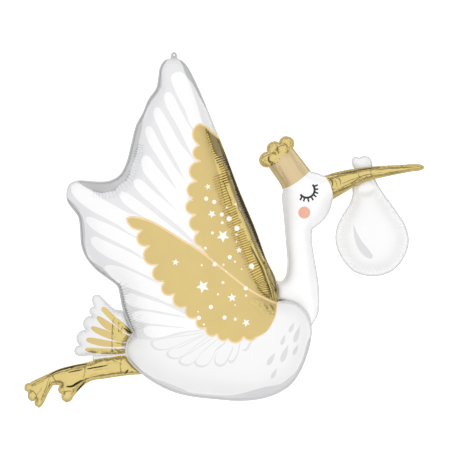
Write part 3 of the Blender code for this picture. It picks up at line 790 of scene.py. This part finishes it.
# Each film, print or painted shade: its colour in the photograph, its roughness and the rest of its finish
INK = {"coat": 0.3, "mottle": 0.01}
FILMS = {
    "white_film": ((252, 252, 252), 0.3, INK),
    "body_film": ((245, 245, 245), 0.3, INK),
    "pouch_film": ((248, 248, 248), 0.3, INK),
    "tail_film": ((237, 237, 238), 0.3, {"coat": 0.3, "mottle": 0.02}),
    # Grey print between the wing's feathers; also painted shade on the chest's steep side
    "feather_gap_print_and_chest_shade": ((233, 233, 235), 0.3, INK),
    "drop_print": ((222, 222, 225), 0.3, INK),
    "feather_print": ((227, 227, 229), 0.3, INK),
    # Grey painted shade on the steep sides of the wings and body; also the tab's own grey
    "side_shade_and_tab_film": ((184, 184, 185), 0.3, {"metallic": 0.3, "coat": 0.3, "mottle": 0.02}),
    # Lighter grey painted shade on the belly's steep side
    "belly_side_shade_film": ((212, 212, 214), 0.3, {"coat": 0.3, "mottle": 0.02}),
    "rim_film": ((196, 196, 197), 0.3, {"metallic": 0.3, "mottle": 0.04}),
    "rim_foil": ((168, 150, 104), 0.3, {"metallic": 0.8}),
    "white_print": ((254, 252, 244), 0.35, {"mottle": 0.01}),
    "gold_print": ((208, 184, 117), 0.36, {"metallic": 0.35, "coat": 0.2}),
    "peach_print": ((243, 212, 160), 0.4, {"coat": 0.2}),
    "tan_print": ((213, 189, 143), 0.35, {"metallic": 0.2, "coat": 0.3}),
    "coral_print": ((236, 174, 147), 0.35, {"coat": 0.3}),
    "black_print": ((12, 12, 13), 0.45, {"mottle": 0.1}),
    "gold_foil": ((197, 178, 116), 0.26, {"metallic": 1.0, "crinkle": 0.4, "crinkle_scale": 90}),
    # Darker foil painted as shade and dark reflection on the leading edge's steep side and along folds
    "foil_painted_shade": ((127, 112, 73), 0.3, {"metallic": 0.9, "crinkle": 0.2}),
    # Deep painted shade of foil, on the leading edge's lower side and along the legs' folds
    "foil_painted_deep_shade": ((70, 61, 31), 0.28, {"metallic": 0.9, "crinkle": 0.2}),
}


def make_materials():
    return {
        name: varied_film(name, srgb(*colour), roughness, **finish)
        for name, (colour, roughness, finish) in FILMS.items()
    }


# Skins

# Where relief starts, as a share of the weld's width, and how deep a ball is for its radius
WELD_EDGE = 0.2
DOME_DEPTH = 0.65

# Tucks: how much their length varies and how sharply they end. Gathers: the reach of the fine
# ones for that of the loose ones, and how many puckers a loose one has
TUCK_SPREAD = 0.6
TUCK_END = 3
FINE_REACH = 0.35
LOOSE_PUCKERS = 2.6


class Skin:
    """The film of one cell as a fine triangle net over its outline."""

    def __init__(self, node, prints, creases=(), rounds=(), welds=(), fine=(), gathered=()):
        self.node = node
        corners, self.level = edge_wall(node)
        if rounds:
            corners = joined(corners, rounds)
        self.rim, self.wave = puckered_rim(corners)
        self.rim_tree = tree_of(self.rim)
        self.welds = [place(weld) for weld in welds]
        self.creases = [(depth, width, place(curve(points))) for depth, width, points in creases]
        self.prints = [(place(outline), name) for outline, name in prints]
        self.points, self.triangles = self.fill(fine, gathered)
        self.away, self.nearest = nearest(self.rim_tree, self.points)
        edge = self.away < THINNEST / 2
        wavy = inset(self.rim, RIM_WAVE * np.cos(math.tau * self.wave)[:, None])
        self.points[edge] = wavy[self.nearest[edge]]
        rise = self.membrane()
        self.share = np.sqrt(rise / rise.max())
        self.front_relief = np.zeros(len(self.points))
        self.back_relief = np.zeros(len(self.points))
        for depth, width, line in self.creases:
            self.groove(line, depth, width)

    def fill(self, fine, gathered):
        """Triangles over the outline, with edges along every print and closer rows near the weld."""
        points = [self.rim]
        edges = [(index, (index + 1) % len(self.rim)) for index in range(len(self.rim))]
        start = len(self.rim)
        printed = []
        lines = [np.vstack([outline, outline[:1]]) for outline, _ in self.prints]
        lines += [line for _, _, line in self.creases]
        for number, line in enumerate(lines):
            line = dense(line, PRINT_STEP)
            keep = inside(self.rim, line)
            keep[keep] = nearest(self.rim_tree, line[keep])[0] > PRINT_TO_RIM
            numbers = start + np.cumsum(keep) - 1
            both = keep & np.roll(keep, -1)
            both[-1] &= number < len(self.prints)
            edges += [(int(numbers[i]), int(numbers[(i + 1) % len(line)])) for i in np.flatnonzero(both)]
            printed.append(line[keep])
            start += int(keep.sum())
        printed = np.vstack(printed)
        loose = [dense(weld, FINE_STEP) for weld in self.welds]
        rows = [(reach, inset(self.rim, reach)[::stride]) for reach, stride in ROWS]
        for region, depth in gathered:
            chosen = inside(place(region), self.rim)
            reaches = np.arange(GATHER_FROM, depth, GATHER_STEP)
            rows += [(reach, inset(self.rim, reach)[chosen]) for reach in reaches]
        loose += [self.valid(row, ROW_GAPS[0] * reach, ROW_GAPS[1] * reach) for reach, row in rows]
        loose.append(self.valid(honeycomb(self.rim, FIELD_STEP), ROWS[-1][0] + FIELD_STEP / 2, math.inf))
        for region in fine:
            patch = place(region)
            grid = honeycomb(patch, FINE_STEP)
            loose.append(self.valid(grid[inside(patch, grid)], RIM_WIDTH / 2, math.inf))
        loose = thinned(np.vstack(loose), THINNEST)
        loose = loose[nearest(tree_of(printed), loose)[0] > PRINT_CLEAR]
        points = np.vstack(points + [printed, loose])
        flat, _, faces, *_ = delaunay_2d_cdt([Vector(p) for p in points], edges, [], 1, MICRON)
        return np.array([tuple(p) for p in flat]), np.array([face for face in faces if len(face) == 3])

    def valid(self, points, low, high):
        """The points inside the outline and between two distances from it."""
        points = points[inside(self.rim, points)]
        away = nearest(self.rim_tree, points)[0]
        return points[(away >= low) & (away <= high)]

    def membrane(self):
        """How far a stretched film rises under even pressure, by conjugate gradients."""
        held = self.away <= RIM_HELD
        for weld in self.welds:
            held |= away_from(weld, self.points, RIM_WIDTH) <= RIM_WIDTH
        corners = self.points[self.triangles]
        opposite = np.roll(corners, -1, axis=1) - np.roll(corners, 1, axis=1)
        (ax, ay), (bx, by) = opposite[:, 0].T, opposite[:, 1].T
        area = np.maximum(np.abs(ax * by - ay * bx) / 2, TINY)
        count = len(self.points)
        load = np.bincount(self.triangles.ravel(), np.repeat(area / 3, 3), count)
        weight = np.einsum("tik,tjk->tij", opposite, opposite) / (4 * area)[:, None, None]
        rows = np.repeat(self.triangles, 3, axis=1).ravel()
        columns = np.tile(self.triangles, (1, 3)).ravel()
        weight = weight.ravel()
        diagonal = np.maximum(np.bincount(rows[rows == columns], weight[rows == columns], count), TINY)
        free = (~held).astype(float)
        rise = np.zeros(count)
        error = load * free
        step = error / diagonal
        strength = error @ step
        goal = SOLVED * (load @ (load / diagonal))
        while strength > goal:
            pull = np.bincount(rows, weight * step[columns], count) * free
            share = strength / (step @ pull)
            rise += share * step
            error -= share * pull
            eased = error / diagonal
            renewed = error @ eased
            step = eased + step * renewed / strength
            strength = renewed
        return np.maximum(rise, 0)

    def fold(self, crease, beyond, power=0.5):
        """Reshapes the side between a crease and the outline. Half flattens a round side into one
        face, and less than nothing lifts it."""
        within = inside(place(side(crease, beyond)), self.points)
        rest = away_from(place(curve(crease)), self.points[within], FAR)
        travel = np.maximum(self.away[within] - RIM_WIDTH, MICRON)
        self.share[within] *= (travel / (travel + rest)) ** power

    def clear_of_weld(self):
        """Fades relief out over the weld."""
        return np.clip(self.away / RIM_WIDTH - WELD_EDGE, 0, 1)

    def comb(self, depth, reach, seed, points):
        """Sharp narrow tucks square to the outline, of uneven length, across a drawn line."""
        close = away_from(place(curve(points)), self.points, 2 * reach)
        near = np.flatnonzero(close < 2 * reach)
        wave = self.wave[self.nearest[near]]
        tuck = np.clip(1 - COLUMNS_PER_PUCKER * np.abs(wave % 1 - 0.5), 0, 1)
        numbers = np.column_stack([np.round(wave), 0 * wave])
        length = reach * (1 + TUCK_SPREAD * noise_at(numbers, 1.7, seed))
        fade = np.clip(TUCK_END * (1 - close[near] / length), 0, 1) * self.clear_of_weld()[near]
        self.front_relief[near] -= depth * fade * tuck

    def soften(self, first, last, power):
        """Changes how full the section is, from one drawn column to another and beyond."""
        ramp = np.clip((drawn(self.points)[:, 0] - first) / (last - first), 0, 1)
        crest = self.share[ramp > 0].max()
        fuller = crest * (self.share / crest) ** (1 + (power - 1) * ramp)
        self.share = np.where(ramp > 0, fuller, self.share)

    def groove(self, line, depth, width):
        """A sharp crease along a line, which runs out at both its ends."""
        close = away_from(line, self.points, CREASE_REACH_IN_WIDTHS * width)
        ends = np.minimum(*(np.linalg.norm(self.points - end, axis=1) for end in (line[0], line[-1])))
        fade = self.clear_of_weld() * np.clip(ends / CREASE_RUN_OUT, CREASE_END_DEPTH, 1)
        self.front_relief -= depth * np.exp(-close / width) * fade

    def crumple(self, region, depth, size, seed, heading=0.0, stretch=1.0):
        """Crushed foil: flat facets between sharp ridges, drawn out along a heading."""
        within = np.flatnonzero(inside(place(region), self.points))
        turn = np.array([[math.cos(heading), math.sin(heading)], [-math.sin(heading), math.cos(heading)]])
        where = self.points[within] @ turn.T / (np.array([stretch, 1]) * size)
        folds = np.array([crushed(x, y, seed) for x, y in where])
        fade = np.clip((self.away[within] - CRUMPLE_START) / CRUMPLE_RUN_IN, 0, 1)
        self.front_relief[within] += depth * folds * fade

    def dome(self, centre, radius, lift):
        """A ball that stands out of the film."""
        where = place([centre])[0]
        size = radius * SQUARE
        offset = np.linalg.norm(self.points - where, axis=1)
        within = np.flatnonzero(offset < size)
        bulge = lift + DOME_DEPTH * size * np.cbrt(1 - (offset[within] / size) ** 3)
        rise = np.minimum(bulge / (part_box(self.node)[1].z - self.level), 1)
        rise *= np.clip(self.away[within] / RIM_WIDTH - 1, 0, 1)
        self.share[within] = np.maximum(self.share[within], rise)


def crushed(x, y, seed):
    """Folds of crushed foil at a place, between about -1 and 1, from distances to scattered knots."""
    bend = noise.noise((x * 0.7, y * 0.7, seed + 0.5))
    coarse, _ = noise.voronoi((x + 0.6 * bend, y, seed))
    fine, _ = noise.voronoi((2.3 * x, 2.3 * y + bend, seed + 9))
    return 0.75 - (coarse[1] - coarse[0]) * 1.3 - 0.5 * (fine[1] - fine[0])


def joined(outline, rounds):
    """The outline of a shape together with the discs at its edge."""
    points = []
    edges = []
    for loop in [outline] + [place(ring(centre, radius, ROUND_CORNERS)) for centre, radius in rounds]:
        start = len(points)
        points += [Vector(point) for point in loop]
        edges += [(start + index, start + (index + 1) % len(loop)) for index in range(len(loop))]
    flat, _, faces, *_ = delaunay_2d_cdt(points, edges, [], 1, MICRON)
    follows = dict(open_edges(np.array(faces)))
    loops = []
    while follows:
        loop = [next(iter(follows))]
        while follows[loop[-1]] != loop[0]:
            loop.append(follows.pop(loop[-1]))
        follows.pop(loop[-1])
        loops.append(loop)
    longest = max(loops, key=len)
    return thinned(np.array([tuple(flat[index]) for index in longest]), THINNEST)


def open_edges(triangles):
    """The edges that only one triangle has, in its direction."""
    directed = np.vstack([triangles[:, [0, 1]], triangles[:, [1, 2]], triangles[:, [2, 0]]]).tolist()
    known = set(map(tuple, directed))
    return [(a, b) for a, b in directed if (b, a) not in known]


def edge_wall(node):
    """The outline of a cell's solid and the height of its rim, from the wall at its edge."""
    mesh = frame["nodes"][node].data
    corners = np.array([vertex.co for vertex in mesh.vertices])
    follows = {}
    heights = []
    for face in mesh.polygons:
        if abs(face.normal.z) > WALL_TILT:
            continue
        wall = corners[face.vertices]
        top = wall[wall[:, 2] > wall[:, 2].mean()]
        heights += [wall[:, 2].min(), wall[:, 2].max()]
        if len(top) != 2:
            continue
        ahead = Vector((0, 0, 1)).cross(face.normal)
        if Vector(top[1] - top[0]).dot(ahead) < 0:
            top = top[::-1]
        first, second = (tuple(np.round(corner[:2], ROUNDED_PLACES)) for corner in top)
        follows[first] = second
    line = [next(iter(follows))]
    while follows[line[-1]] != line[0]:
        line.append(follows[line[-1]])
    return np.array(line), float(np.mean(heights))


def puckered_rim(corners):
    """The outline with even columns for its seam puckers, curved between sharp corners."""
    along = np.roll(corners, -1, axis=0) - corners
    headings = np.arctan2(along[:, 1], along[:, 0])
    turns = np.abs((headings - np.roll(headings, 1) + math.pi) % math.tau - math.pi)
    sharp = np.flatnonzero(turns > SHARP_CORNER)
    columns = []
    waves = []
    for first, last in zip(sharp, np.roll(sharp, -1)):
        count = (last - first) % len(corners) or len(corners)
        run = corners[(first + np.arange(count + 1)) % len(corners)]
        line = curve(run) if len(run) > 2 else run
        puckers = max(1, round(length_of(line) / PUCKER_PITCH))
        steps = puckers * COLUMNS_PER_PUCKER
        offset = waves[-1][-1] + 1 / COLUMNS_PER_PUCKER if waves else 0
        columns.append(resample(line, steps))
        waves.append(offset + np.arange(steps) / COLUMNS_PER_PUCKER)
    return np.vstack(columns), np.concatenate(waves)


def dense(line, step):
    """The line with steps of at most a given length, without its last point."""
    runs = []
    for start, end in zip(line[:-1], line[1:]):
        count = max(1, math.ceil(np.linalg.norm(end - start) / step))
        runs.append(start + (end - start) * np.arange(count)[:, None] / count)
    return np.vstack(runs)


def tree_of(points):
    """A tree that finds the nearest of flat points."""
    tree = kdtree.KDTree(len(points))
    for index, (x, y) in enumerate(points):
        tree.insert((x, y, 0), index)
    tree.balance()
    return tree


def nearest(tree, points):
    """The distance from each point to the nearest of a tree's points, and its number."""
    found = [tree.find((x, y, 0)) for x, y in points]
    return np.array([hit[2] for hit in found]), np.array([hit[1] for hit in found], dtype=int)


def away_from(line, points, reach):
    """The distance from each point to a line, or a large one beyond a reach from its box."""
    away = np.full(len(points), FAR)
    low, high = line.min(axis=0) - reach, line.max(axis=0) + reach
    near = np.flatnonzero(((points >= low) & (points <= high)).all(axis=1))
    start, span = line[:-1], np.diff(line, axis=0)
    lengths = np.maximum(np.einsum("sk,sk->s", span, span), TINY)
    for chunk in np.array_split(near, 1 + len(near) * len(span) // CHUNK):
        offset = points[chunk][:, None] - start
        share = np.clip(np.einsum("psk,sk->ps", offset, span) / lengths, 0, 1)
        gap = offset - share[..., None] * span
        away[chunk] = np.sqrt(np.einsum("psk,psk->ps", gap, gap).min(axis=1, initial=FAR))
    return away


def thinned(points, gap):
    """The points without those that share a small square with an earlier one."""
    _, first = np.unique(np.round(points / gap).astype(int), axis=0, return_index=True)
    return points[np.sort(first)]


def honeycomb(outline, spacing):
    """Even points over the box of an outline."""
    low, high = outline.min(axis=0), outline.max(axis=0)
    points = []
    for row, y in enumerate(np.arange(low[1], high[1], spacing * math.sqrt(0.75))):
        shift = spacing / 2 * (row % 2)
        points += [(x + shift, y) for x in np.arange(low[0], high[0], spacing)]
    return np.array(points)


def normals_of(points, triangles):
    """Unit normals at the points of a surface."""
    a, b, c = (points[triangles[:, corner]] for corner in range(3))
    facing = np.cross(b - a, c - a)
    normals = np.zeros_like(points)
    for corner in range(3):
        for axis in range(3):
            normals[:, axis] += np.bincount(triangles[:, corner], facing[:, axis], len(points))
    return normals / np.maximum(np.linalg.norm(normals, axis=1, keepdims=True), TINY)


def noise_at(points, scale, seed):
    """Smooth noise between about -1 and 1 at flat points."""
    return np.array([noise.noise((x * scale, y * scale, seed * 7.3)) for x, y in points])


def seam_puckers(skin, depth, reach, seed):
    """Fine gathers along the weld and longer, looser ones between them."""
    wave = skin.wave[skin.nearest]
    inward = np.maximum(skin.away - RIM_WIDTH, 0)
    start = np.clip(skin.away / RIM_WIDTH, 0, 1)
    uneven = 0.65 + 0.5 * noise_at(np.column_stack([wave * 0.013, skin.away]), 12, seed)
    fine = np.cos(math.tau * wave) * np.exp(-inward / (FINE_REACH * reach))
    drift = noise_at(np.column_stack([wave * 0.02, wave * 0]), 9, seed + 1)
    loose = np.cos(math.tau * (wave / LOOSE_PUCKERS + 0.8 * drift)) * np.exp(-inward / reach)
    relief = depth * start * (uneven * fine + 0.9 * (0.5 + drift) * loose)
    skin.front_relief += relief
    skin.back_relief += relief


def front_and_back(skin, floor, roof):
    """Both faces of a cell's film with their relief, the back over a floor, the front under a roof."""
    low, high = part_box(skin.node)
    deepest = max(high.z - skin.level, skin.level - low.z)
    rise = np.maximum(skin.share * (high.z - skin.level), FILM_HALF)
    drop = np.maximum(skin.share * deepest, FILM_HALF)
    front = np.column_stack([skin.points, skin.level + rise])
    back = np.column_stack([skin.points, skin.level - drop])
    front += normals_of(front, skin.triangles) * skin.front_relief[:, None]
    back += normals_of(back, skin.triangles[:, ::-1]) * skin.back_relief[:, None]
    front[:, 2] = np.minimum(front[:, 2], np.maximum(roof, skin.level + FILM_HALF))
    back[:, 2] = np.maximum(back[:, 2], floor)
    front[:, 2] = np.clip(front[:, 2], back[:, 2] + FILM_HALF, high.z)
    return front, back


def painted(skin, base, broad):
    """The names of the paints that a cell needs, and each triangle's paint in front and behind."""
    centres = skin.points[skin.triangles].mean(axis=1)
    names = [base]
    front = np.zeros(len(centres), dtype=int)
    back = np.zeros(len(centres), dtype=int)
    for outline, paint in skin.prints:
        if paint not in names:
            names.append(paint)
        hit = inside(outline, centres)
        front[hit] = names.index(paint)
        if paint in broad:
            back[hit] = names.index(paint)
    rim_zone = skin.away[skin.triangles].mean(axis=1) < RIM_PAINTED
    for paints, rim_paint in ((WHITE_PAINTS, "rim_film"), (GOLD_PAINTS, "rim_foil")):
        numbers = [names.index(paint) for paint in paints if paint in names]
        names.append(rim_paint)
        for paint_numbers in (front, back):
            paint_numbers[rim_zone & np.isin(paint_numbers, numbers)] = len(names) - 1
    return names, front, back


def new_piece(name, verts, faces, materials):
    """A smooth mesh object that rides on the part."""
    mesh = bpy.data.meshes.new(name)
    mesh.from_pydata(verts, [], faces)
    for material in materials:
        mesh.materials.append(material)
    mesh.shade_smooth()
    piece = bpy.data.objects.new(name, mesh)
    bpy.context.scene.collection.objects.link(piece)
    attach(piece, "root")
    return piece


def build_skin(skin, name, materials, base, broad=(), floor=FLOOR_GAP, roof=FAR):
    """The visible piece of a cell: its front with every print and painted shade, and its plainer back."""
    front, back = front_and_back(skin, floor, roof)
    names, front_paint, back_paint = painted(skin, base, broad)
    count = len(skin.points)
    mirrored = skin.triangles[:, ::-1] + count
    wall = [(count + a, count + b, b, a) for a, b in open_edges(skin.triangles)]
    faces = skin.triangles.tolist() + mirrored.tolist() + wall
    verts = np.vstack([front, back]).tolist()
    piece = new_piece(name, verts, faces, [materials[paint] for paint in names])
    paints = np.concatenate([front_paint, back_paint, np.full(len(wall), names.index("rim_film"))])
    piece.data.polygons.foreach_set("material_index", paints.astype(np.int32))
    piece.data.set_sharp_from_angle(angle=SHARP_FOLD)
    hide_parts(skin.node)


# Pieces

# The ring round the tab's eye, in metres, and its steps around and across
TAB_RING = 0.0016
TAB_RING_HEIGHT = 0.8 * TAB_RING
TAB_RING_PUFF = 0.18
TAB_RING_STEPS = (48, 8)

# The tail's fan and the legs
FAN_FLATNESS = 0.5
FAN_ROOT_LENGTH = 18
WEB_SQUARE = 356.5
WEB = [(92.7, 358.3), (127, 355)]
LEG_FULLNESS = 0.65
LEG_CREST = 0.85

# The heading of the beak's and the legs' lengthways folds
LENGTHWAYS = math.radians(12)

# Prints and painted shades that the back has too, and the regions of crushed foil and of long tucks
BROAD_PAINTS = ("gold_print", "peach_print", "gold_foil", "foil_painted_shade", "tan_print", "side_shade_and_tab_film",
                "belly_side_shade_film")
CORNER_CRUMPLE = [(246, 296), (278, 303), (276, 322), (262, 318), (248, 306)]
LEADING_BAND = [(190, 118), (225, 118), (300, 290), (296, 310), (262, 305)]
NOTCH_BAND = [(60, 165), (145, 120), (150, 160), (120, 200), (60, 190)]
TAIL_SIDE_BAND = [(105, 275), (135, 285), (150, 345), (120, 345)]
BEAK_REGION = [(318, 165), (430, 140), (430, 185), (335, 205), (328, 200)]
BEAK_BASE_REGION = [(320, 172), (338, 172), (342, 190), (336, 202), (326, 200)]
CROWN_REGION = [(250, 172), (268, 168), (296, 152), (300, 130), (250, 130)]
LEG_REGION = [(10, 380), (60, 360), (126, 350), (150, 360), (150, 420), (10, 420)]
FAN_ROOT = [(112, 312), (140, 325), (140, 356), (111, 356)]
GATHERED_BANDS = ((LEADING_BAND, 0.1), (NOTCH_BAND, 0.075), (TAIL_SIDE_BAND, 0.09))

# Rows of tucks: how deep and how long they are in metres, a seed and the line that they cross
WING_COMBS = [
    (0.0024, 0.008, 2, [(207, 133), (212, 147), (217, 158), (221, 166)]),
    (0.0026, 0.02, 3, [(221, 160), (225, 170), (227, 180)]),
    (0.0026, 0.028, 4,
     [(220, 180), (224, 196), (230, 212), (236, 228), (243, 244), (250, 260), (258, 276), (266, 292)]),
    (0.0018, 0.012, 5,
     [(236, 190), (241, 204), (247, 218), (253, 232), (259, 245), (266, 260), (274, 276)]),
    (0.003, 0.017, 6, [(140, 146), (138, 157), (132.5, 174), (120, 190), (106, 196), (94, 194)]),
    (0.0026, 0.04, 7, [(122, 290), (127, 305), (132, 318), (138, 332)]),
]
BUNDLE_COMB = (
    0.0018, 0.018, 8,
    [(354, 204), (347, 220), (343, 238), (346, 254), (356, 265), (370, 270), (385, 268), (397, 259),
     (403, 245), (401, 229), (393, 212), (384, 197)],
)

# Where the bundle's knot and the beak are pressed flat on each other
TIE = (364, 175)
TIE_REACH = 17 * SQUARE
TIE_MIDDLE = 0.9 * TIE_REACH
CONTACT_GAP = 0.0003


def tie_contact():
    """The height where the beak's back and the knot's front are pressed flat on each other."""
    tie = place([TIE])[0]
    faces = []
    for node, pick in (("bundle", max), ("head_and_neck", min)):
        corners = np.array([vertex.co for vertex in frame["nodes"][node].data.vertices])
        near = np.linalg.norm(corners[:, :2] - tie, axis=1) < TIE_MIDDLE
        faces.append(pick(corners[near, 2]))
    return sum(faces) / 2


def beyond_tie(skin):
    """How far each point of a cell is beyond the pressed place."""
    return np.linalg.norm(skin.points - place([TIE])[0], axis=1) - TIE_REACH


def make_body(materials):
    body = Skin("body_and_wings", body_prints(), WING_CREASES, gathered=GATHERED_BANDS)
    for flank in (LEFT_SIDE, TIP_SIDE, LOWER_SIDE, BELLY_SIDE):
        body.fold(*flank)
    body.fold(FOLD_INNER, FOLD_BEYOND, power=-0.3)
    body.fold(FOLD_CREASE, FOLD_BEYOND, power=0.8)
    seam_puckers(body, depth=0.0006, reach=0.018, seed=1)
    body.crumple(CORNER_CRUMPLE, depth=0.0016, size=0.012, seed=9)
    for comb in WING_COMBS:
        body.comb(*comb)
    build_skin(body, "body_and_wings_film", materials, "body_film", BROAD_PAINTS)


def make_head(materials, contact):
    fine = (BEAK_REGION, CROWN_REGION)
    head = Skin("head_and_neck", head_prints(), BEAK_CREASES + NECK_CREASES, rounds=CROWN_BALLS, fine=fine)
    for centre, radius in CROWN_BALLS:
        head.dome(centre, radius, lift=0.008)
    for centre, radius in INNER_BALLS:
        head.dome(centre, radius, lift=0.022)
    seam_puckers(head, depth=0.0007, reach=0.01, seed=6)
    head.soften(first=328, last=350, power=0.7)
    head.crumple(CROWN_REGION, depth=0.0026, size=0.009, seed=3)
    head.crumple(BEAK_REGION, depth=0.0012, size=0.012, seed=4, heading=LENGTHWAYS, stretch=5)
    head.crumple(BEAK_BASE_REGION, depth=0.0016, size=0.008, seed=5)
    away = beyond_tie(head)
    floor = np.where(away < TIE_REACH, contact + CONTACT_GAP - np.maximum(away, 0), 0)
    build_skin(head, "head_and_neck_film", materials, "white_film", BROAD_PAINTS, floor=floor)


def make_bundle(materials, contact):
    bundle = Skin("bundle", bundle_prints(), BUNDLE_CREASES)
    seam_puckers(bundle, depth=0.0007, reach=0.014, seed=7)
    bundle.comb(*BUNDLE_COMB)
    away = beyond_tie(bundle)
    roof = np.where(away < TIE_REACH, contact - CONTACT_GAP + np.maximum(away, 0), FAR)
    build_skin(bundle, "bundle_film", materials, "pouch_film", roof=roof)


def make_tail(materials):
    tail = Skin("tail_and_legs", tail_prints(), LEG_CREASES, TAIL_ROUNDS, (WEB,), (LEG_REGION, FAN_ROOT))
    for centre, radius in TOES:
        tail.dome(centre, radius, lift=0.004)
    columns, rows = drawn(tail.points).T
    ramp = np.clip((columns - FAN_CREASE) / FAN_ROOT_LENGTH, 0, 1)
    legs = rows > WEB_SQUARE
    crest = tail.share[legs].max()
    leg_share = LEG_CREST * crest * (tail.share / crest) ** LEG_FULLNESS
    fan_share = tail.share * (FAN_FLATNESS + (1 - FAN_FLATNESS) * ramp)
    tail.share = np.where(legs, leg_share, fan_share)
    seam_puckers(tail, depth=0.0004, reach=0.01, seed=8)
    tail.crumple(LEG_REGION, depth=0.0012, size=0.013, seed=5, heading=LENGTHWAYS, stretch=3)
    tail.crumple(FAN_ROOT, depth=0.0018, size=0.01, seed=6)
    build_skin(tail, "tail_and_legs_film", materials, "tail_film", BROAD_PAINTS)


def make_tab(materials):
    """The hang tab keeps its solid, with film on it and a pressed ring round its eye."""
    # The tab takes its own grey from the film that also paints shade on the steep sides
    frame["nodes"]["hang_tab"].material_slots[0].material = materials["side_shade_and_tab_film"]
    eye = frame["record"]["physics"]["openings"][0]["box_m"]
    centre = (Vector(eye[0]) + Vector(eye[1])) / 2
    hole = (eye[1][0] - eye[0][0]) / 2
    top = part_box("hang_tab")[1].z
    around, across = TAB_RING_STEPS
    verts = []
    for turn in np.arange(around) * math.tau / around:
        puff = 1 + TAB_RING_PUFF * noise.noise((3 * math.cos(turn), 3 * math.sin(turn), 0.4))
        for roll in np.arange(across) * math.tau / across:
            reach = hole + TAB_RING * (1 + puff * math.cos(roll))
            height = top + TAB_RING_HEIGHT * puff * math.sin(roll)
            verts.append((centre.x + reach * math.cos(turn), centre.y + reach * math.sin(turn), height))
    faces = []
    for i in range(around):
        for j in range(across):
            ahead, beside = (i + 1) % around, (j + 1) % across
            faces.append((i * across + j, ahead * across + j, ahead * across + beside, i * across + beside))
    new_piece("hang_tab_ring", verts, faces, [materials["side_shade_and_tab_film"]])


def make_balloon(materials):
    contact = tie_contact()
    make_body(materials)
    make_head(materials, contact)
    make_bundle(materials, contact)
    make_tail(materials)
    make_tab(materials)


# Floor, light and camera

PHOTO_SIZE = 450
WHITE = (1, 1, 1, 1)
LENS_MM = 250
SENSOR_MM = 36
VIEW_END = 100
FLOOR_SIZE = 12
FLOOR_DROP = 0.001
FLOOR_GLOW = 0.45
WORLD_LIGHT = 0.42
LAMP_SIZE = 16
LAMP_WATTS = 620
LAMP_PLACE = (0.6, 0.4, 6.5)


def make_floor():
    bpy.ops.mesh.primitive_plane_add(size=FLOOR_SIZE, location=(0, 0, -FLOOR_DROP))
    floor = bpy.context.object
    floor.name = "floor"
    material, nodes, _ = node_material("floor_white")
    shader = nodes["Principled BSDF"]
    shader.inputs["Base Color"].default_value = (0.9, 0.9, 0.9, 1)
    shader.inputs["Roughness"].default_value = 0.9
    shader.inputs["Specular IOR Level"].default_value = 0.1
    shader.inputs["Emission Color"].default_value = WHITE
    shader.inputs["Emission Strength"].default_value = FLOOR_GLOW
    floor.data.materials.append(material)


def make_lights():
    world = bpy.data.worlds.new("studio")
    bpy.context.scene.world = world
    world.use_nodes = True
    background = world.node_tree.nodes["Background"]
    background.inputs["Color"].default_value = WHITE
    background.inputs["Strength"].default_value = WORLD_LIGHT
    lamp = bpy.data.lights.new("overhead", "AREA")
    lamp.shape = "DISK"
    lamp.size = LAMP_SIZE
    lamp.energy = LAMP_WATTS
    light = bpy.data.objects.new("overhead", lamp)
    light.location = LAMP_PLACE
    bpy.context.scene.collection.objects.link(light)


def make_camera():
    rim_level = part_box("body_and_wings")[1].z / 2
    aim = place([(PHOTO_SIZE / 2, PHOTO_SIZE / 2)])[0]
    distance = PHOTO_SIZE * SQUARE * LENS_MM / SENSOR_MM
    lens = bpy.data.cameras.new("camera")
    lens.lens = LENS_MM
    lens.sensor_width = SENSOR_MM
    lens.clip_end = VIEW_END
    camera = bpy.data.objects.new("camera", lens)
    camera.location = (aim[0], aim[1], rim_level + distance)
    bpy.context.scene.collection.objects.link(camera)
    bpy.context.scene.camera = camera


make_balloon(make_materials())
make_floor()
make_lights()
make_camera()
bpy.context.scene.view_settings.view_transform = "Standard"
